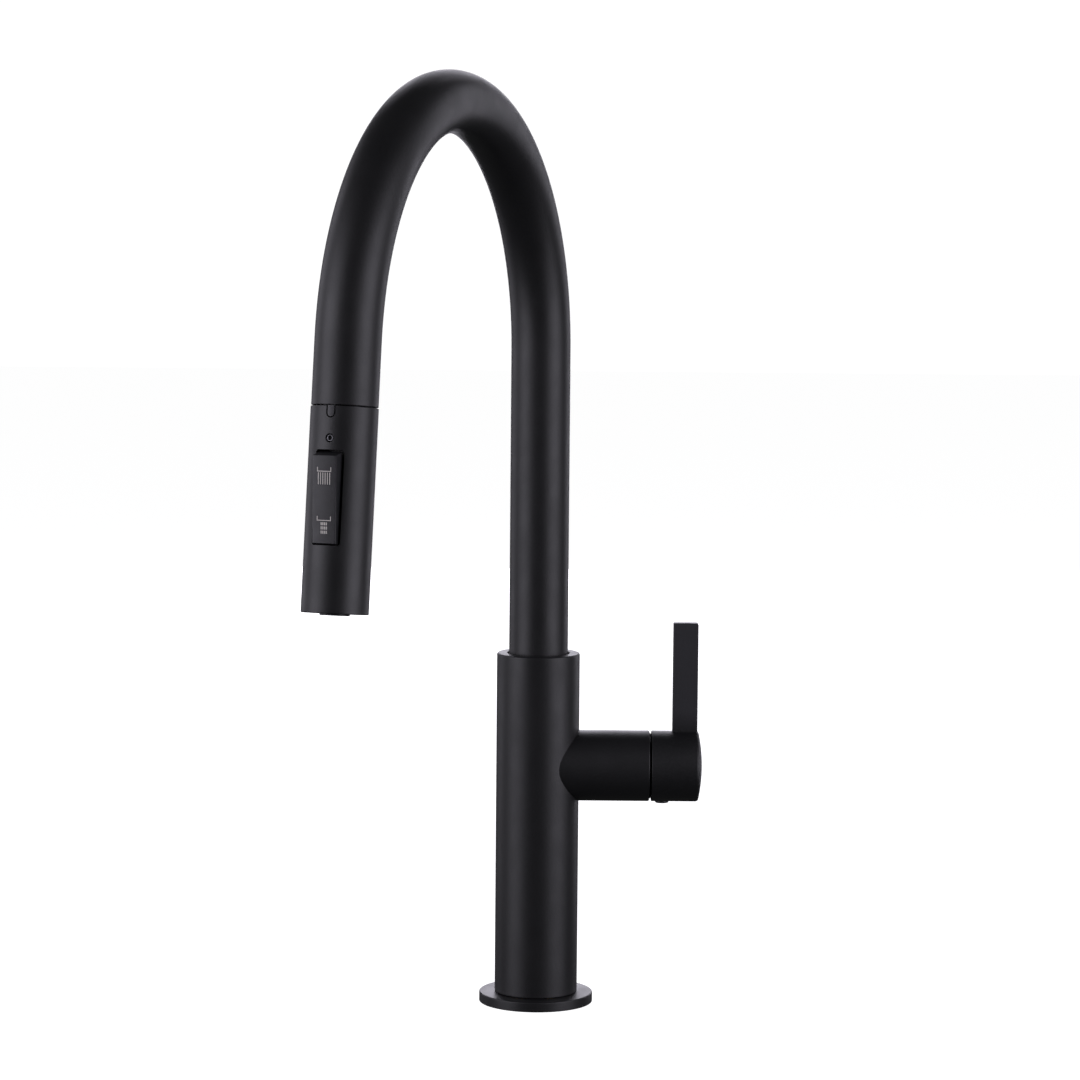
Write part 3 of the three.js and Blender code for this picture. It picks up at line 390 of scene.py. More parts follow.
COAT_GRAIN = 0.9 * MM
COAT_DARK = (0.0050, 0.0050, 0.0056)
COAT_LIGHT = (0.0075, 0.0075, 0.0084)
# Paler colour of the lever: a painted highlight on the same black coat.
LEVER_PAINTED_HIGHLIGHT_COLOUR = (0.0285, 0.0280, 0.0315)
# Painted highlight on the lever: its strength at the lever's foot and 10 mm above it, and how much of the
# coat's grain shows in it.
LEVER_PAINTED_HIGHLIGHT_AND_GRAIN = Dim(low=0.2, high=0.56, rise=10 * MM, grain=0.25)


def powder(finish):
    """The powder coat's slight orange peel, fine grain and faintly uneven sheen."""
    finish.roughness(finish.noise(14 * MM, 3), 0.45, 0.51)
    finish.bump((finish.noise(1.6 * MM, 1), 0.012 * MM), (finish.noise(0.22 * MM, 2), 0.010 * MM))
    return finish.material


def black_coat():
    """Matt black powder coat."""
    finish = Finish("black_coat", 0.48)
    finish.colours(finish.noise(COAT_GRAIN, 3), COAT_DARK, COAT_LIGHT)
    return powder(finish)


def lever_painted_highlight_coat():
    """The same coat on the handle with a painted highlight: a little paler from the lever's foot upward."""
    finish = Finish("lever_painted_highlight_coat", 0.48)
    height = finish.dot((0, 0, 1), (0, 0, BOSS_HEIGHT))
    # Painted highlight: paler with height up the lever.
    rise = finish.spread(height, HUB.radius, HUB.radius + LEVER_PAINTED_HIGHLIGHT_AND_GRAIN.rise, LEVER_PAINTED_HIGHLIGHT_AND_GRAIN.low, LEVER_PAINTED_HIGHLIGHT_AND_GRAIN.high)
    grain = finish.math("MULTIPLY", finish.noise(COAT_GRAIN, 3), LEVER_PAINTED_HIGHLIGHT_AND_GRAIN.grain)
    finish.colours(finish.math("ADD", rise, grain), COAT_DARK, LEVER_PAINTED_HIGHLIGHT_COLOUR)
    return powder(finish)


def moulded(name, low, high, roughness):
    """Spark-eroded plastic."""
    finish = Finish(name, roughness)
    finish.colours(finish.noise(2.5 * MM, 3), low, high)
    finish.roughness(finish.noise(5 * MM), roughness - 0.04, roughness + 0.04)
    finish.bump((finish.cells(0.35 * MM), 0.012 * MM))
    return finish.material


def turned_metal(name, low, high, roughness):
    """Metal with the fine lines of a lathe tool and a little tarnish."""
    finish = Finish(name, roughness, metallic=1.0)
    lines = finish.noise(1.2 * MM, 4, finish.stretched((1, 1, 9)))
    finish.colours(finish.noise(7 * MM, 4), low, high)
    finish.roughness(lines, roughness - 0.08, roughness + 0.08)
    finish.bump((lines, 0.006 * MM))
    return finish.material


def ceramic():
    finish = Finish("ceramic", 0.16)
    finish.colours(finish.noise(0.5 * MM, 4), (0.74, 0.73, 0.69), (0.82, 0.81, 0.78))
    finish.roughness(finish.noise(3 * MM), 0.13, 0.2)
    finish.bump((finish.noise(0.3 * MM, 3), 0.002 * MM))
    return finish.material


def elastomer(name, low, high, roughness):
    finish = Finish(name, roughness, specular=0.35)
    finish.colours(finish.noise(1.5 * MM, 4), low, high)
    finish.roughness(finish.noise(2 * MM, 3), roughness - 0.06, roughness + 0.06)
    finish.bump((finish.noise(0.25 * MM, 3), 0.008 * MM))
    return finish.material


BRAID = Dim(strands=16, pitch=2.4 * MM, depth=0.18 * MM)


def braid(name, unwrapped):
    """Nylon braid: two crossing sets of spirals, around a piece's own U or around the column's axis."""
    finish = Finish(name, 0.5, specular=0.4)
    if unwrapped:
        flat = finish.tree.nodes.new("ShaderNodeTexCoord").outputs["UV"]
        around = finish.node("ShaderNodeSeparateXYZ", Vector=flat).outputs["X"]
        turn = finish.math("MULTIPLY", around, 2 * math.pi)
    else:
        turn = finish.math("ARCTAN2", finish.dot((0, 1, 0)), finish.dot((1, 0, 0)))
    strands = finish.math("MULTIPLY", turn, BRAID.strands)
    along = finish.math("MULTIPLY", finish.dot((0, 0, 1)), 2 * math.pi / BRAID.pitch)
    right = finish.math("SINE", finish.math("ADD", strands, along))
    left = finish.math("SINE", finish.math("SUBTRACT", strands, along))
    weave = finish.math("MAXIMUM", right, left)
    height = finish.math("MULTIPLY_ADD", weave, 0.5, 0.5)
    finish.colours(height, (0.012, 0.012, 0.014), (0.075, 0.078, 0.085))
    finish.bump((height, BRAID.depth), (finish.noise(0.2 * MM), 0.02 * MM))
    return finish.material


def icon_paint():
    finish = Finish("icon_paint", 0.5)
    finish.colours(finish.noise(0.3 * MM, 3), (0.60, 0.57, 0.53), (0.70, 0.67, 0.62))
    finish.roughness(finish.noise(0.5 * MM), 0.45, 0.58)
    finish.bump((finish.noise(0.15 * MM), 0.006 * MM))
    return finish.material


def make_materials():
    return {
        "black_coat": black_coat(),
        # The black coat with a painted highlight up the lever.
        "lever_painted_highlight_coat": lever_painted_highlight_coat(),
        "black_plastic": moulded("black_plastic", (0.010, 0.010, 0.011), (0.016, 0.016, 0.018), 0.40),
        "grey_plastic": moulded("grey_plastic", (0.24, 0.25, 0.26), (0.31, 0.32, 0.33), 0.45),
        "white_plastic": moulded("white_plastic", (0.66, 0.65, 0.60), (0.74, 0.73, 0.68), 0.42),
        "brass": turned_metal("brass", (0.50, 0.33, 0.12), (0.62, 0.44, 0.18), 0.32),
        "steel": turned_metal("steel", (0.44, 0.44, 0.45), (0.56, 0.57, 0.58), 0.28),
        "dark_steel": turned_metal("dark_steel", (0.10, 0.10, 0.105), (0.16, 0.16, 0.17), 0.34),
        "ceramic": ceramic(),
        "rubber": elastomer("rubber", (0.010, 0.010, 0.011), (0.020, 0.020, 0.021), 0.72),
        "silicone": elastomer("silicone", (0.030, 0.031, 0.033), (0.048, 0.050, 0.052), 0.62),
        "braid": braid("braid", False),
        "leg_braid": braid("leg_braid", True),
        "icon_paint": icon_paint(),
    }


# ---------------------------------------------------------------- mesh helpers

# A circle smaller than this is a point, and a corner's radius doesn't get smaller than this.
POINT = 1e-9
LEAST_RADIUS = 0.01 * MM


def rounded(corners, closed=False, steps=4):
    """An outline in a plane in which each (x, y, radius) corner becomes an arc; (x, y) stays sharp."""
    outline = []
    count = len(corners)
    for i, corner in enumerate(corners):
        point = Vector(corner[:2])
        radius = corner[2] if len(corner) > 2 else 0
        if not radius or (not closed and i in (0, count - 1)):
            outline.append(point)
            continue
        back = (Vector(corners[i - 1][:2]) - point).normalized()
        ahead = (Vector(corners[(i + 1) % count][:2]) - point).normalized()
        half = back.angle(ahead) / 2
        centre = point + (back + ahead).normalized() * radius / math.sin(half)
        spoke = point + back * radius / math.tan(half) - centre
        turn = math.copysign(math.pi - 2 * half, ahead.x * back.y - ahead.y * back.x)
        for k in range(steps + 1):
            outline.append(centre + Matrix.Rotation(turn * k / steps, 2) @ spoke)
    return outline


def circle(radius, height, sides):
    """Points around Z at a height, or the one point that a circle of no radius is."""
    if radius < POINT:
        return [Vector((0, 0, height))]
    steps = [2 * math.pi * i / sides for i in range(sides)]
    return [Vector((radius * math.cos(a), radius * math.sin(a), height)) for a in steps]


def hexagon(across, height, sides):
    """A hexagon with as many points as a circle, by its flat-to-centre distance."""
    points = []
    for point in circle(1, height, sides):
        angle = math.atan2(point.y, point.x) % (math.pi / 3) - math.pi / 6
        reach = across / math.cos(angle)
        points.append(Vector((point.x * reach, point.y * reach, height)))
    return points


def bridge(bm, first, second):
    """Faces between two loops with as many vertices as each other, or between a loop and one vertex."""
    count = max(len(first), len(second))
    for i in range(count):
        j = (i + 1) % count
        if len(first) == 1:
            bm.faces.new((first[0], second[j], second[i]))
        elif len(second) == 1:
            bm.faces.new((first[i], first[j], second[0]))
        else:
            bm.faces.new((first[i], first[j], second[j], second[i]))


def loft(bm, rings, closed=False):
    """A closed skin over rings of points; the ends are capped unless the rings form a loop."""
    loops = [[bm.verts.new(point) for point in ring] for ring in rings]
    for first, second in zip(loops, loops[1:]):
        bridge(bm, first, second)
    if closed:
        bridge(bm, loops[-1], loops[0])
        return
    for end in (loops[0], loops[-1]):
        if len(end) > 1:
            bm.faces.new(end)


def to_object(name, bm, place=Matrix.Identity(4)):
    """An object from a bmesh, which it uses up."""
    bmesh.ops.recalc_face_normals(bm, faces=bm.faces)
    mesh = bpy.data.meshes.new(name)
    bm.to_mesh(mesh)
    bm.free()
    mesh.transform(place)
    return add(name, mesh)


def lofted(name, rings, place=Matrix.Identity(4), closed=False):
    bm = bmesh.new()
    loft(bm, rings, closed)
    return to_object(name, bm, place)


def lathed(name, corners, place=Matrix.Identity(4), sides=FINE, closed=False, steps=4):
    """A solid of revolution about Z; a closed outline makes a ring."""
    outline = rounded(corners, closed, steps)
    return lofted(name, [circle(x, z, sides) for x, z in outline], place, closed)


def ring_section(ring):
    """Outline of a ring's rectangular section, with a radius at each of its corners."""
    across = (ring.inner, ring.outer, ring.outer, ring.inner)
    along = (ring.bottom, ring.bottom, ring.top, ring.top)
    return list(zip(across, along, ring.edges))


def rod(radius, start, end, place=Matrix.Identity(4), sides=SMALL):
    return lathed("rod", [(0, start), (radius, start), (radius, end), (0, end)], place, sides)


def slab_outline(low, high, corners, inset, steps):
    """A rectangle with its own radius at each corner, drawn in by an inset."""
    x0, y0 = (value + inset for value in low)
    x1, y1 = (value - inset for value in high)
    points = ((x0, y0), (x1, y0), (x1, y1), (x0, y1))
    radii = [max(radius - inset, LEAST_RADIUS) for radius in corners]
    return rounded([(*point, radius) for point, radius in zip(points, radii)], closed=True, steps=steps)


def slab(name, low, high, half, corners, edge, place, steps=4):
    """A plate in the X-Z plane, with rounded corners and rounded edges all round."""
    rings = []
    for side in (-1, 1):
        for k in range(steps + 1):
            angle = math.pi / 2 * (k if side == 1 else steps - k) / steps
            depth = side * (half - edge + edge * math.sin(angle))
            outline = slab_outline(low, high, corners, edge * (1 - math.cos(angle)), steps)
            rings.append([Vector((x, depth, z)) for x, z in outline])
    return lofted(name, rings, place)


def block(low, high, place=Matrix.Identity(4)):
    (x0, y0, z0), (x1, y1, z1) = low, high
    rings = [[Vector(p) for p in ((x0, y0, z), (x1, y0, z), (x1, y1, z), (x0, y1, z))] for z in (z0, z1)]
    return lofted("block", rings, place)


def drop(piece):
    mesh = piece.data
    bpy.data.objects.remove(piece)
    bpy.data.meshes.remove(mesh)


def settle(piece):
    """Applies the modifiers of a piece to its mesh."""
    result = bpy.data.meshes.new_from_object(piece.evaluated_get(bpy.context.evaluated_depsgraph_get()))
    piece.modifiers.clear()
    old = piece.data
    piece.data = result
    bpy.data.meshes.remove(old)
    result.name = piece.name


def carve(piece, operation, *tools):
    """Combines a piece with its tools by a boolean operation, and takes the tools away."""
    for tool in tools:
        step = piece.modifiers.new("carve", "BOOLEAN")
        step.operation = operation
        step.solver = "EXACT"
        step.object = tool
    settle(piece)
    for tool in tools:
        drop(tool)
    return piece


def cut(piece, *tools):
    return carve(piece, "DIFFERENCE", *tools)


def join(piece, *tools):
    return carve(piece, "UNION", *tools)


def soften(piece, width, limit=35, segments=2):
    """Rounds the edges that are sharper than the limit, in degrees."""
    step = piece.modifiers.new("soften", "BEVEL")
    step.width = width
    step.segments = segments
    step.limit_method = "ANGLE"
    step.angle_limit = math.radians(limit)
    step.use_clamp_overlap = False
    settle(piece)


def dress(piece, body, finish, *nodes, sharp=30):
    """Smooths a finished piece, gives it its material and lets it ride on a body in its nodes' place."""
    mesh = piece.data
    mesh.shade_smooth()
    mesh.set_sharp_from_angle(angle=math.radians(sharp))
    step = piece.modifiers.new("even_shading", "WEIGHTED_NORMAL")
    step.keep_sharp = True
    step.weight = 100
    settle(piece)
    piece.data.materials.clear()
    piece.data.materials.append(MATERIALS[finish])
    if body:
        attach(piece, body)
    if nodes:
        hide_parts(*nodes)


# ---------------------------------------------------------------- base and column


def make_base_ring():
    ring = lathed("base_ring", [
        (RING.bore, 0),
        (RING_GROOVE.inner, 0, RING_GROOVE.edge),
        (RING_GROOVE.inner, RING_GROOVE.depth),
        (RING_GROOVE.outer, RING_GROOVE.depth),
        (RING_GROOVE.outer, 0, RING_GROOVE.edge),
        (RING.radius, 0, RING.foot),
        (RING.radius, RING.height, RING.edge),
        (RING.bore, RING.height, RING.inner_edge),
    ], closed=True, sides=FINEST)
    dress(ring, "body", "black_coat", "base_flange")


def make_gasket():
    gasket = lathed("foot_gasket", ring_section(GASKET), closed=True)
    dress(gasket, "body", "rubber", "deck_gasket")


def make_insert():
    """Threaded foot; its thread is drawn as rings of the right pitch."""
    corners = [(INSERT.outer, INSERT.top, INSERT.edge), (INSERT.outer, INSERT.bottom, INSERT.edge)]
    turns = int((INSERT.top - INSERT.bottom) / INSERT_THREAD.pitch)
    for i in range(turns):
        low = INSERT.bottom + i * INSERT_THREAD.pitch
        corners.append((INSERT.bore + INSERT_THREAD.depth, low))
        corners.append((INSERT.bore, low + INSERT_THREAD.pitch / 2))
    corners.append((INSERT.bore + INSERT_THREAD.depth, INSERT.top))
    dress(lathed("threaded_foot", corners, closed=True, sides=ROUND), "body", "brass", "mounting_insert")


def make_column():
    outside = lathed("column", [
        (0, COLUMN.bottom),
        (COLUMN.radius, COLUMN.bottom, COLUMN.foot),
        (COLUMN.radius, COLUMN.top, COLUMN.edge),
        (0, COLUMN.top),
    ])
    boss = lathed("boss", [
        (0, 0),
        (BOSS.radius, 0),
        (BOSS.radius, BOSS.end, BOSS.edge),
        (0, BOSS.end),
    ], BOSS_PLACE)
    inside = lathed("inside", [
        (0, 0),
        (COLUMN.bore, 0),
        (COLUMN.bore, COLUMN.top - LIP.height),
        (LIP.bore, COLUMN.top - LIP.height),
        (LIP.bore, COLUMN.top - LIP.chamfer),
        (LIP.bore + LIP.chamfer + PAST, COLUMN.top + PAST),
        (0, COLUMN.top + PAST),
    ])
    bore = lathed("bore", [
        (0, 0),
        (BOSS.bore, 0),
        (BOSS.bore, BOSS.end - BOSS.chamfer),
        (BOSS.bore + BOSS.chamfer + PAST, BOSS.end + PAST),
        (0, BOSS.end + PAST),
    ], BOSS_PLACE)
    screw_hole = rod(STOP_SCREW.hole, LIP.bore, COLUMN.radius + PAST, STOP_SCREW_PLACE, MEDIUM)
    cut(join(outside, boss), inside, bore, screw_hole)
    dress(outside, "body", "black_coat", "body_shell", sharp=20)


def socket_screw(name, screw, place):
    """A grub screw along Z with a chamfered rim and a hexagonal socket in its head."""
    chamfer = screw.radius * 0.15
    tip_radius = screw.radius * 0.6
    tip_length = screw.radius * 0.4
    rings = [
        circle(tip_radius, screw.tip, MEDIUM),
        circle(screw.radius, screw.tip + tip_length, MEDIUM),
        circle(screw.radius, screw.head - chamfer, MEDIUM),
        circle(screw.radius - chamfer, screw.head, MEDIUM),
        hexagon(screw.socket + chamfer / 2, screw.head, MEDIUM),
        hexagon(screw.socket, screw.head - chamfer / 2, MEDIUM),
        hexagon(screw.socket, screw.head - screw.depth, MEDIUM),
        circle(0, screw.head - screw.depth - screw.socket / 2, MEDIUM),
    ]
    return lofted(name, rings, place)


def make_stop_screw():
    screw = socket_screw("spout_stop_screw", STOP_SCREW, STOP_SCREW_PLACE)
    dress(screw, "body", "steel", "spout_retaining_screw")


# ---------------------------------------------------------------- handle


def hub_outline():
    """Straight side, rounded corner and a shallow dome at the free end."""
    edge_radius = HUB.radius - HUB.corner
    rise = HUB.end - HUB.edge
    dome = (edge_radius ** 2 + rise ** 2) / (2 * rise)
    slope = edge_radius / (dome - rise)
    # The corner's arc is a little smaller than its room, so that it ends short of the dome.
    arc = HUB.corner * 0.9
    corners = [
        (0, HUB.start),
        (HUB.radius, HUB.start, HUB.rim),
        (HUB.radius, HUB.edge - HUB.corner * slope, arc),
    ]
    steps = 14
    for i in range(steps, 0, -1):
        radius = edge_radius * i / steps
        corners.append((radius, HUB.end - dome + math.sqrt(dome ** 2 - radius ** 2)))
    corners.append((0, HUB.end))
    return corners


def half_ball(radius):
    """Outline of a ball, from its lowest point to its highest."""
    steps = 40
    turns = [math.pi * i / steps - math.pi / 2 for i in range(steps + 1)]
    return [(radius * math.cos(turn), radius * math.sin(turn)) for turn in turns]


def make_handle():
    hub = lathed("lever_handle_skin", hub_outline(), BOSS_PLACE)
    lever = slab(
        "lever",
        (LEVER.inner, 0),
        (LEVER.outer, LEVER.top),
        LEVER.thickness / 2,
        (0, 0, LEVER.corner, LEVER.edge),
        LEVER.edge,
        Matrix.Translation((0, 0, BOSS_HEIGHT)),
    )
    join(hub, lever)
    ball = lathed("ball", half_ball(HUB_HOLLOW), Matrix.Translation(HANDLE_AXIS), sides=ROUND)
    cut(hub, ball)
    collar = rod(HUB_SOCKET.radius, HUB_SOCKET.start, HUB_SOCKET.end, BOSS_PLACE, MEDIUM)
    join(hub, collar)
    half = HUB_SOCKET.square / 2
    socket = block((-half, -half, HUB_SOCKET.start - PAST), (half, half, HUB_SOCKET.depth), BOSS_PLACE)
    down = Matrix.Rotation(math.radians(180), 4, "X")
    at_screw = Matrix.Translation((HANDLE_SCREW.x, 0, BOSS_HEIGHT)) @ down
    at_plug = Matrix.Translation((PLUG.x, 0, BOSS_HEIGHT)) @ down
    cut(
        hub,
        socket,
        rod(HANDLE_SCREW.hole, 0, HUB.radius + PAST, at_screw, MEDIUM),
        rod(PLUG_HOLE.radius, PLUG_HOLE.floor, HUB.radius + PAST, at_plug, MEDIUM),
    )
    # The hub and lever get the black coat with a painted highlight up the lever.
    dress(hub, "handle", "lever_painted_highlight_coat", "lever_handle")
    plug = lathed("screw_cover", [
        (0, PLUG.top),
        (PLUG.radius, PLUG.top, PLUG.top_edge),
        (PLUG.radius, PLUG.bottom, PLUG.edge),
        (0, PLUG.bottom),
    ], at_plug, MEDIUM)
    dress(plug, "handle", "black_plastic", "screw_plug")


def make_cover_ring():
    """Dark ring behind the gap between the boss and the hub; its outside is part of a ball."""
    corners = [
        (COVER.inner, COVER.start, COVER.edge),
        (COVER.foot, COVER.start, COVER.edge),
        (COVER.foot, COVER.step),
    ]
    steps = 8
    for i in range(steps + 1):
        x = COVER.step + (COVER.end - COVER.step) * i / steps
        corners.append((math.sqrt(COVER_BALL ** 2 - (x - HANDLE_AXIS.x) ** 2), x))
    corners.append((COVER.inner, COVER.end, COVER.edge))
    ring = lathed("boss_cover_ring", corners, BOSS_PLACE, closed=True)
    dress(ring, "body", "black_plastic", "cartridge_cover_ring")


# ---------------------------------------------------------------- spout


def spout_stations(stop):
    """Centre points and headings down the spout, from the riser's foot to a distance down the leg."""
    stations = [(Vector((0, 0, TUBE.bottom)), 0.0)]
    for i in range(ARCH.steps + 1):
        turn = ARCH_END * i / ARCH.steps
        stations.append((arch_point(turn), turn))
    stations.append((WAND_JOINT + LEG_WAY * (stop - LEG.length), ARCH_END))
    return stations


def spout_ring(station, radius):
    """A circle of points across the spout's centre line at one station."""
    centre, turn = station
    outward = Vector((math.cos(turn), 0, -math.sin(turn)))
    ring = []
    for point in circle(radius, 0, ROUND):
        ring.append(centre + outward * point.x + Vector((0, point.y, 0)))
    return ring


def make_spout():
    """A bent tube whose wall ends in a rounded lip at the wand."""
    stations = spout_stations(LEG.length - TUBE.edge)
    outer = [spout_ring(station, TUBE.radius) for station in stations]
    inner = [spout_ring(station, TUBE.bore) for station in stations]
    lip = []
    steps = 4
    for radius, side in ((TUBE.radius, 1), (TUBE.bore, -1)):
        for k in range(1, steps + 1):
            angle = math.pi / 2 * (k if side == 1 else steps - k) / steps
            centre = WAND_JOINT + LEG_WAY * (TUBE.edge * (math.sin(angle) - 1))
            lip.append(spout_ring((centre, ARCH_END), radius - side * TUBE.edge * (1 - math.cos(angle))))
    rings = outer + lip + inner[::-1][1:]
    dress(lofted("gooseneck", rings, SPOUT_PLACE, closed=True), "spout", "black_coat", "spout_tube")


def make_docking_collar():
    collar = lathed("docking_socket", [
        *ring_section(DOCK),
        (DOCK.inner, DOCK_GROOVE.top),
        (DOCK_GROOVE.radius, DOCK_GROOVE.top),
        (DOCK_GROOVE.radius, DOCK_GROOVE.bottom),
        (DOCK.inner, DOCK_GROOVE.bottom),
    ], WAND_PLACE, MEDIUM, closed=True)
    half = TONGUE.width / 2
    # Just short of a half circle.
    round_end = half * 0.98
    outline = rounded([
        (-TONGUE.length, -half, round_end),
        (-TONGUE.gap, -half),
        (-TONGUE.gap, half),
        (-TONGUE.length, half, round_end),
    ], closed=True, steps=10)
    tongue = lofted("tongue", [
        [Vector((x, y, z)) for z, y in outline] for x in (TONGUE.inner, TONGUE.outer + PAST)
    ], WAND_PLACE)
    carve(tongue, "INTERSECT", rod(TONGUE.outer, -TONGUE.length - PAST, PAST, WAND_PLACE, FINE))
    soften(tongue, TONGUE.edge)
    inset = TONGUE_STRIP.inset
    strip = block(
        (TONGUE.inner + inset, -half + inset, -TONGUE.length + half),
        (TONGUE_STRIP.outer, half - inset, DOCK.bottom + PAST),
        WAND_PLACE,
    )
    join(collar, strip, tongue)
    dress(collar, "spout", "black_plastic", "docking_collar")


def unwrap(piece, place):
    """Gives a round piece a U that runs once around the Z axis of its place."""
    mesh = piece.data
    layer = mesh.uv_layers.new(name="around")
    back = place.inverted()
    for face in mesh.polygons:
        middle = back @ face.center
        base = math.atan2(middle.y, middle.x)
        for loop in face.loop_indices:
            point = back @ mesh.vertices[mesh.loops[loop].vertex_index].co
            turn = math.remainder(math.atan2(point.y, point.x) - base, 2 * math.pi)
            layer.data[loop].uv = ((base + turn) / (2 * math.pi), point.z / HOSE.top)


def make_hose():
    """The stretch of hose in the leg, above the wand."""
    rings = []
    for i in range(HOSE.steps + 1):
        rings.append(circle(HOSE.radius, HOSE.bottom + (HOSE.top - HOSE.bottom) * i / HOSE.steps, HOSE.sides))
    hose = lofted("hose_in_leg", rings, WAND_PLACE)
    unwrap(hose, WAND_PLACE)
    dress(hose, None, "leg_braid", "pull_hose_leg")
    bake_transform(hose)


# ---------------------------------------------------------------- wand


def window(name, width, bottom, top, low_corner, high_corner):
    """A block with rounded corners that cuts through the wand's outward wall."""
    half = width / 2
    outline = rounded([
        (bottom, -half, low_corner),
        (top, -half, high_corner),
        (top, half, high_corner),
        (bottom, half, low_corner),
    ], closed=True, steps=8)
    rings = [[Vector((x, y, z)) for z, y in outline] for x in (WAND.outer / 3, WAND.outer + PAST)]
    return lofted(name, rings, WAND_PLACE)


def make_wand_shell():
    shell = lathed("wand_sleeve", ring_section(WAND), WAND_PLACE, closed=True)
    notch = window("notch", NOTCH.width, -NOTCH.length, NOTCH.width, NOTCH.low_corner, NOTCH.high_corner)
    recess = window("recess", RECESS.width, RECESS.bottom, RECESS.top, RECESS.corner, RECESS.corner)
    hole = rod(WAND_SCREW.hole, WAND_SCREW.tip, WAND.outer + PAST, WAND_SCREW_PLACE, MEDIUM)
    cut(shell, notch, recess, hole)
    soften(shell, CUT_EDGE)
    dress(shell, "wand", "black_coat", "wand_shell")


def make_wand_screw():
    screw = socket_screw("wand_grub_screw", WAND_SCREW, WAND_SCREW_PLACE)
    dress(screw, "wand", "dark_steel", "wand_set_screw")


def make_core():
    core = lathed("wand_inner", [
        (0, CORE.bottom),
        (CORE.radius, CORE.bottom, CORE_EDGE.bottom),
        (CORE.radius, CORE.top, CORE_EDGE.top),
        (CORE.neck, CORE.top),
        (CORE.neck, CORE.neck_top, CORE_EDGE.neck),
        (0, CORE.neck_top),
    ], WAND_PLACE, ROUND)
    water = lathed("water", [
        (0, CORE.bottom - PAST),
        (CORE_BORE.chamber, CORE.bottom - PAST),
        (CORE_BORE.chamber, CORE_BORE.chamber_top),
        (CORE_BORE.water, CORE_BORE.chamber_top),
        (CORE_BORE.water, CORE_BORE.nut_floor),
        (CORE_BORE.nut, CORE_BORE.nut_floor),
        (CORE_BORE.nut, CORE.neck_top + PAST),
        (0, CORE.neck_top + PAST),
    ], WAND_PLACE, ROUND)
    half = POCKET.width / 2
    pocket = block(
        (POCKET.floor, -half, RECESS.bottom - POCKET.margin),
        (CORE.radius + PAST, half, RECESS.top + POCKET.margin),
        WAND_PLACE,
    )
    hole = rod(WAND_SCREW.hole, WAND_SCREW.tip - WAND_SCREW_ROOM, CORE.radius + PAST, WAND_SCREW_PLACE)
    dress(cut(core, water, pocket, hole), "wand", "black_plastic", "wand_core")


def make_hose_nut():
    chamfer = HOSE_NUT.chamfer
    flat = HOSE_NUT.radius * math.cos(math.pi / 6)
    rings = [
        circle(HOSE_NUT.bore, HOSE_NUT.bottom, MEDIUM),
        circle(HOSE_NUT.radius - chamfer, HOSE_NUT.bottom, MEDIUM),
        circle(HOSE_NUT.radius, HOSE_NUT.bottom + chamfer, MEDIUM),
        circle(HOSE_NUT.radius, HOSE_NUT.collar, MEDIUM),
        circle(HOSE_NUT.radius - chamfer, HOSE_NUT.collar + chamfer, MEDIUM),
        hexagon(flat, HOSE_NUT.collar + chamfer, MEDIUM),
        hexagon(flat, HOSE_NUT.top - chamfer, MEDIUM),
        circle(flat - chamfer / 2, HOSE_NUT.top, MEDIUM),
        circle(HOSE_NUT.bore + chamfer, HOSE_NUT.top, MEDIUM),
        circle(HOSE_NUT.bore, HOSE_NUT.top - chamfer, MEDIUM),
    ]
    dress(lofted("hose_end_nut", rings, WAND_PLACE, closed=True), "wand", "brass", "hose_nut")


# ---------------------------------------------------------------- rocker


def rocker_face(y):
    """Height of the rocker's crowned face over its pivot, at a distance from its middle."""
    return ROCKER.face - ROCKER_EDGE.crown * (2 * y / ROCKER.width) ** 2


def rocker_section(inset):
    """Outline across the rocker, drawn in by an inset: base, sides and the crowned face."""
    half = ROCKER.width / 2 - inset
    corners = [(half, ROCKER.base)]
    steps = 14
    for i in range(steps + 1):
        y = half * (1 - 2 * i / steps)
        soft = ROCKER_EDGE.soft if i in (0, steps) else 0
        corners.append((y, rocker_face(y) - inset, soft))
    corners.append((-half, ROCKER.base))
    return rounded(corners, closed=True, steps=3)


def make_rocker():
    """A bar whose ends are rounded at the face and raked, so that it is longer at its base."""
    rings = []
    steps = 4
    depth = ROCKER.face - ROCKER.base
    for side in (-1, 1):
        for k in range(steps + 1):
            angle = math.pi / 2 * (k if side == 1 else steps - k) / steps
            reach = ROCKER.length / 2 - ROCKER_EDGE.end * (1 - math.sin(angle))
            ring = []
            for y, x in rocker_section(ROCKER_EDGE.end * (1 - math.cos(angle))):
                ring.append(Vector((x, y, side * (reach + ROCKER.rake * (ROCKER.face - x) / depth))))
            rings.append(ring)
    rocker = lofted("rocker", rings, ROCKER_PLACE)
    half = ROCKER.width / 2
    across = ROCKER_PLACE @ ALONG_Y
    join(rocker, rod(ROCKER_RIB.radius, -half + PAST, half - PAST, across, MEDIUM))
    cut(rocker, rod(ROCKER_RIB.hole, -half - PAST, half + PAST, across, MEDIUM))
    dress(rocker, "rocker", "black_plastic", "rocker_button", sharp=40)


def inlay(bm, left, right, low, high):
    """A thin raised patch that follows the crowned face."""
    steps = max(1, math.ceil((right - left) / ICON.step))
    columns = []
    for i in range(steps + 1):
        y = left + (right - left) * i / steps
        top = rocker_face(y) + ICON.proud
        base = rocker_face(y) - ICON.sunk
        columns.append([Vector((x, y, z)) for x, z in ((base, low), (top, low), (top, high), (base, high))])
    loft(bm, columns)


def bracket(bm, base):
    """A flat line with short upturned ends."""
    half = ICON.bracket / 2
    inlay(bm, -half, half, base, base + ICON.line)
    for side in (-1, 1):
        ends = sorted((side * half, side * (half - ICON.line)))
        inlay(bm, *ends, base + ICON.line, base + ICON.arm)


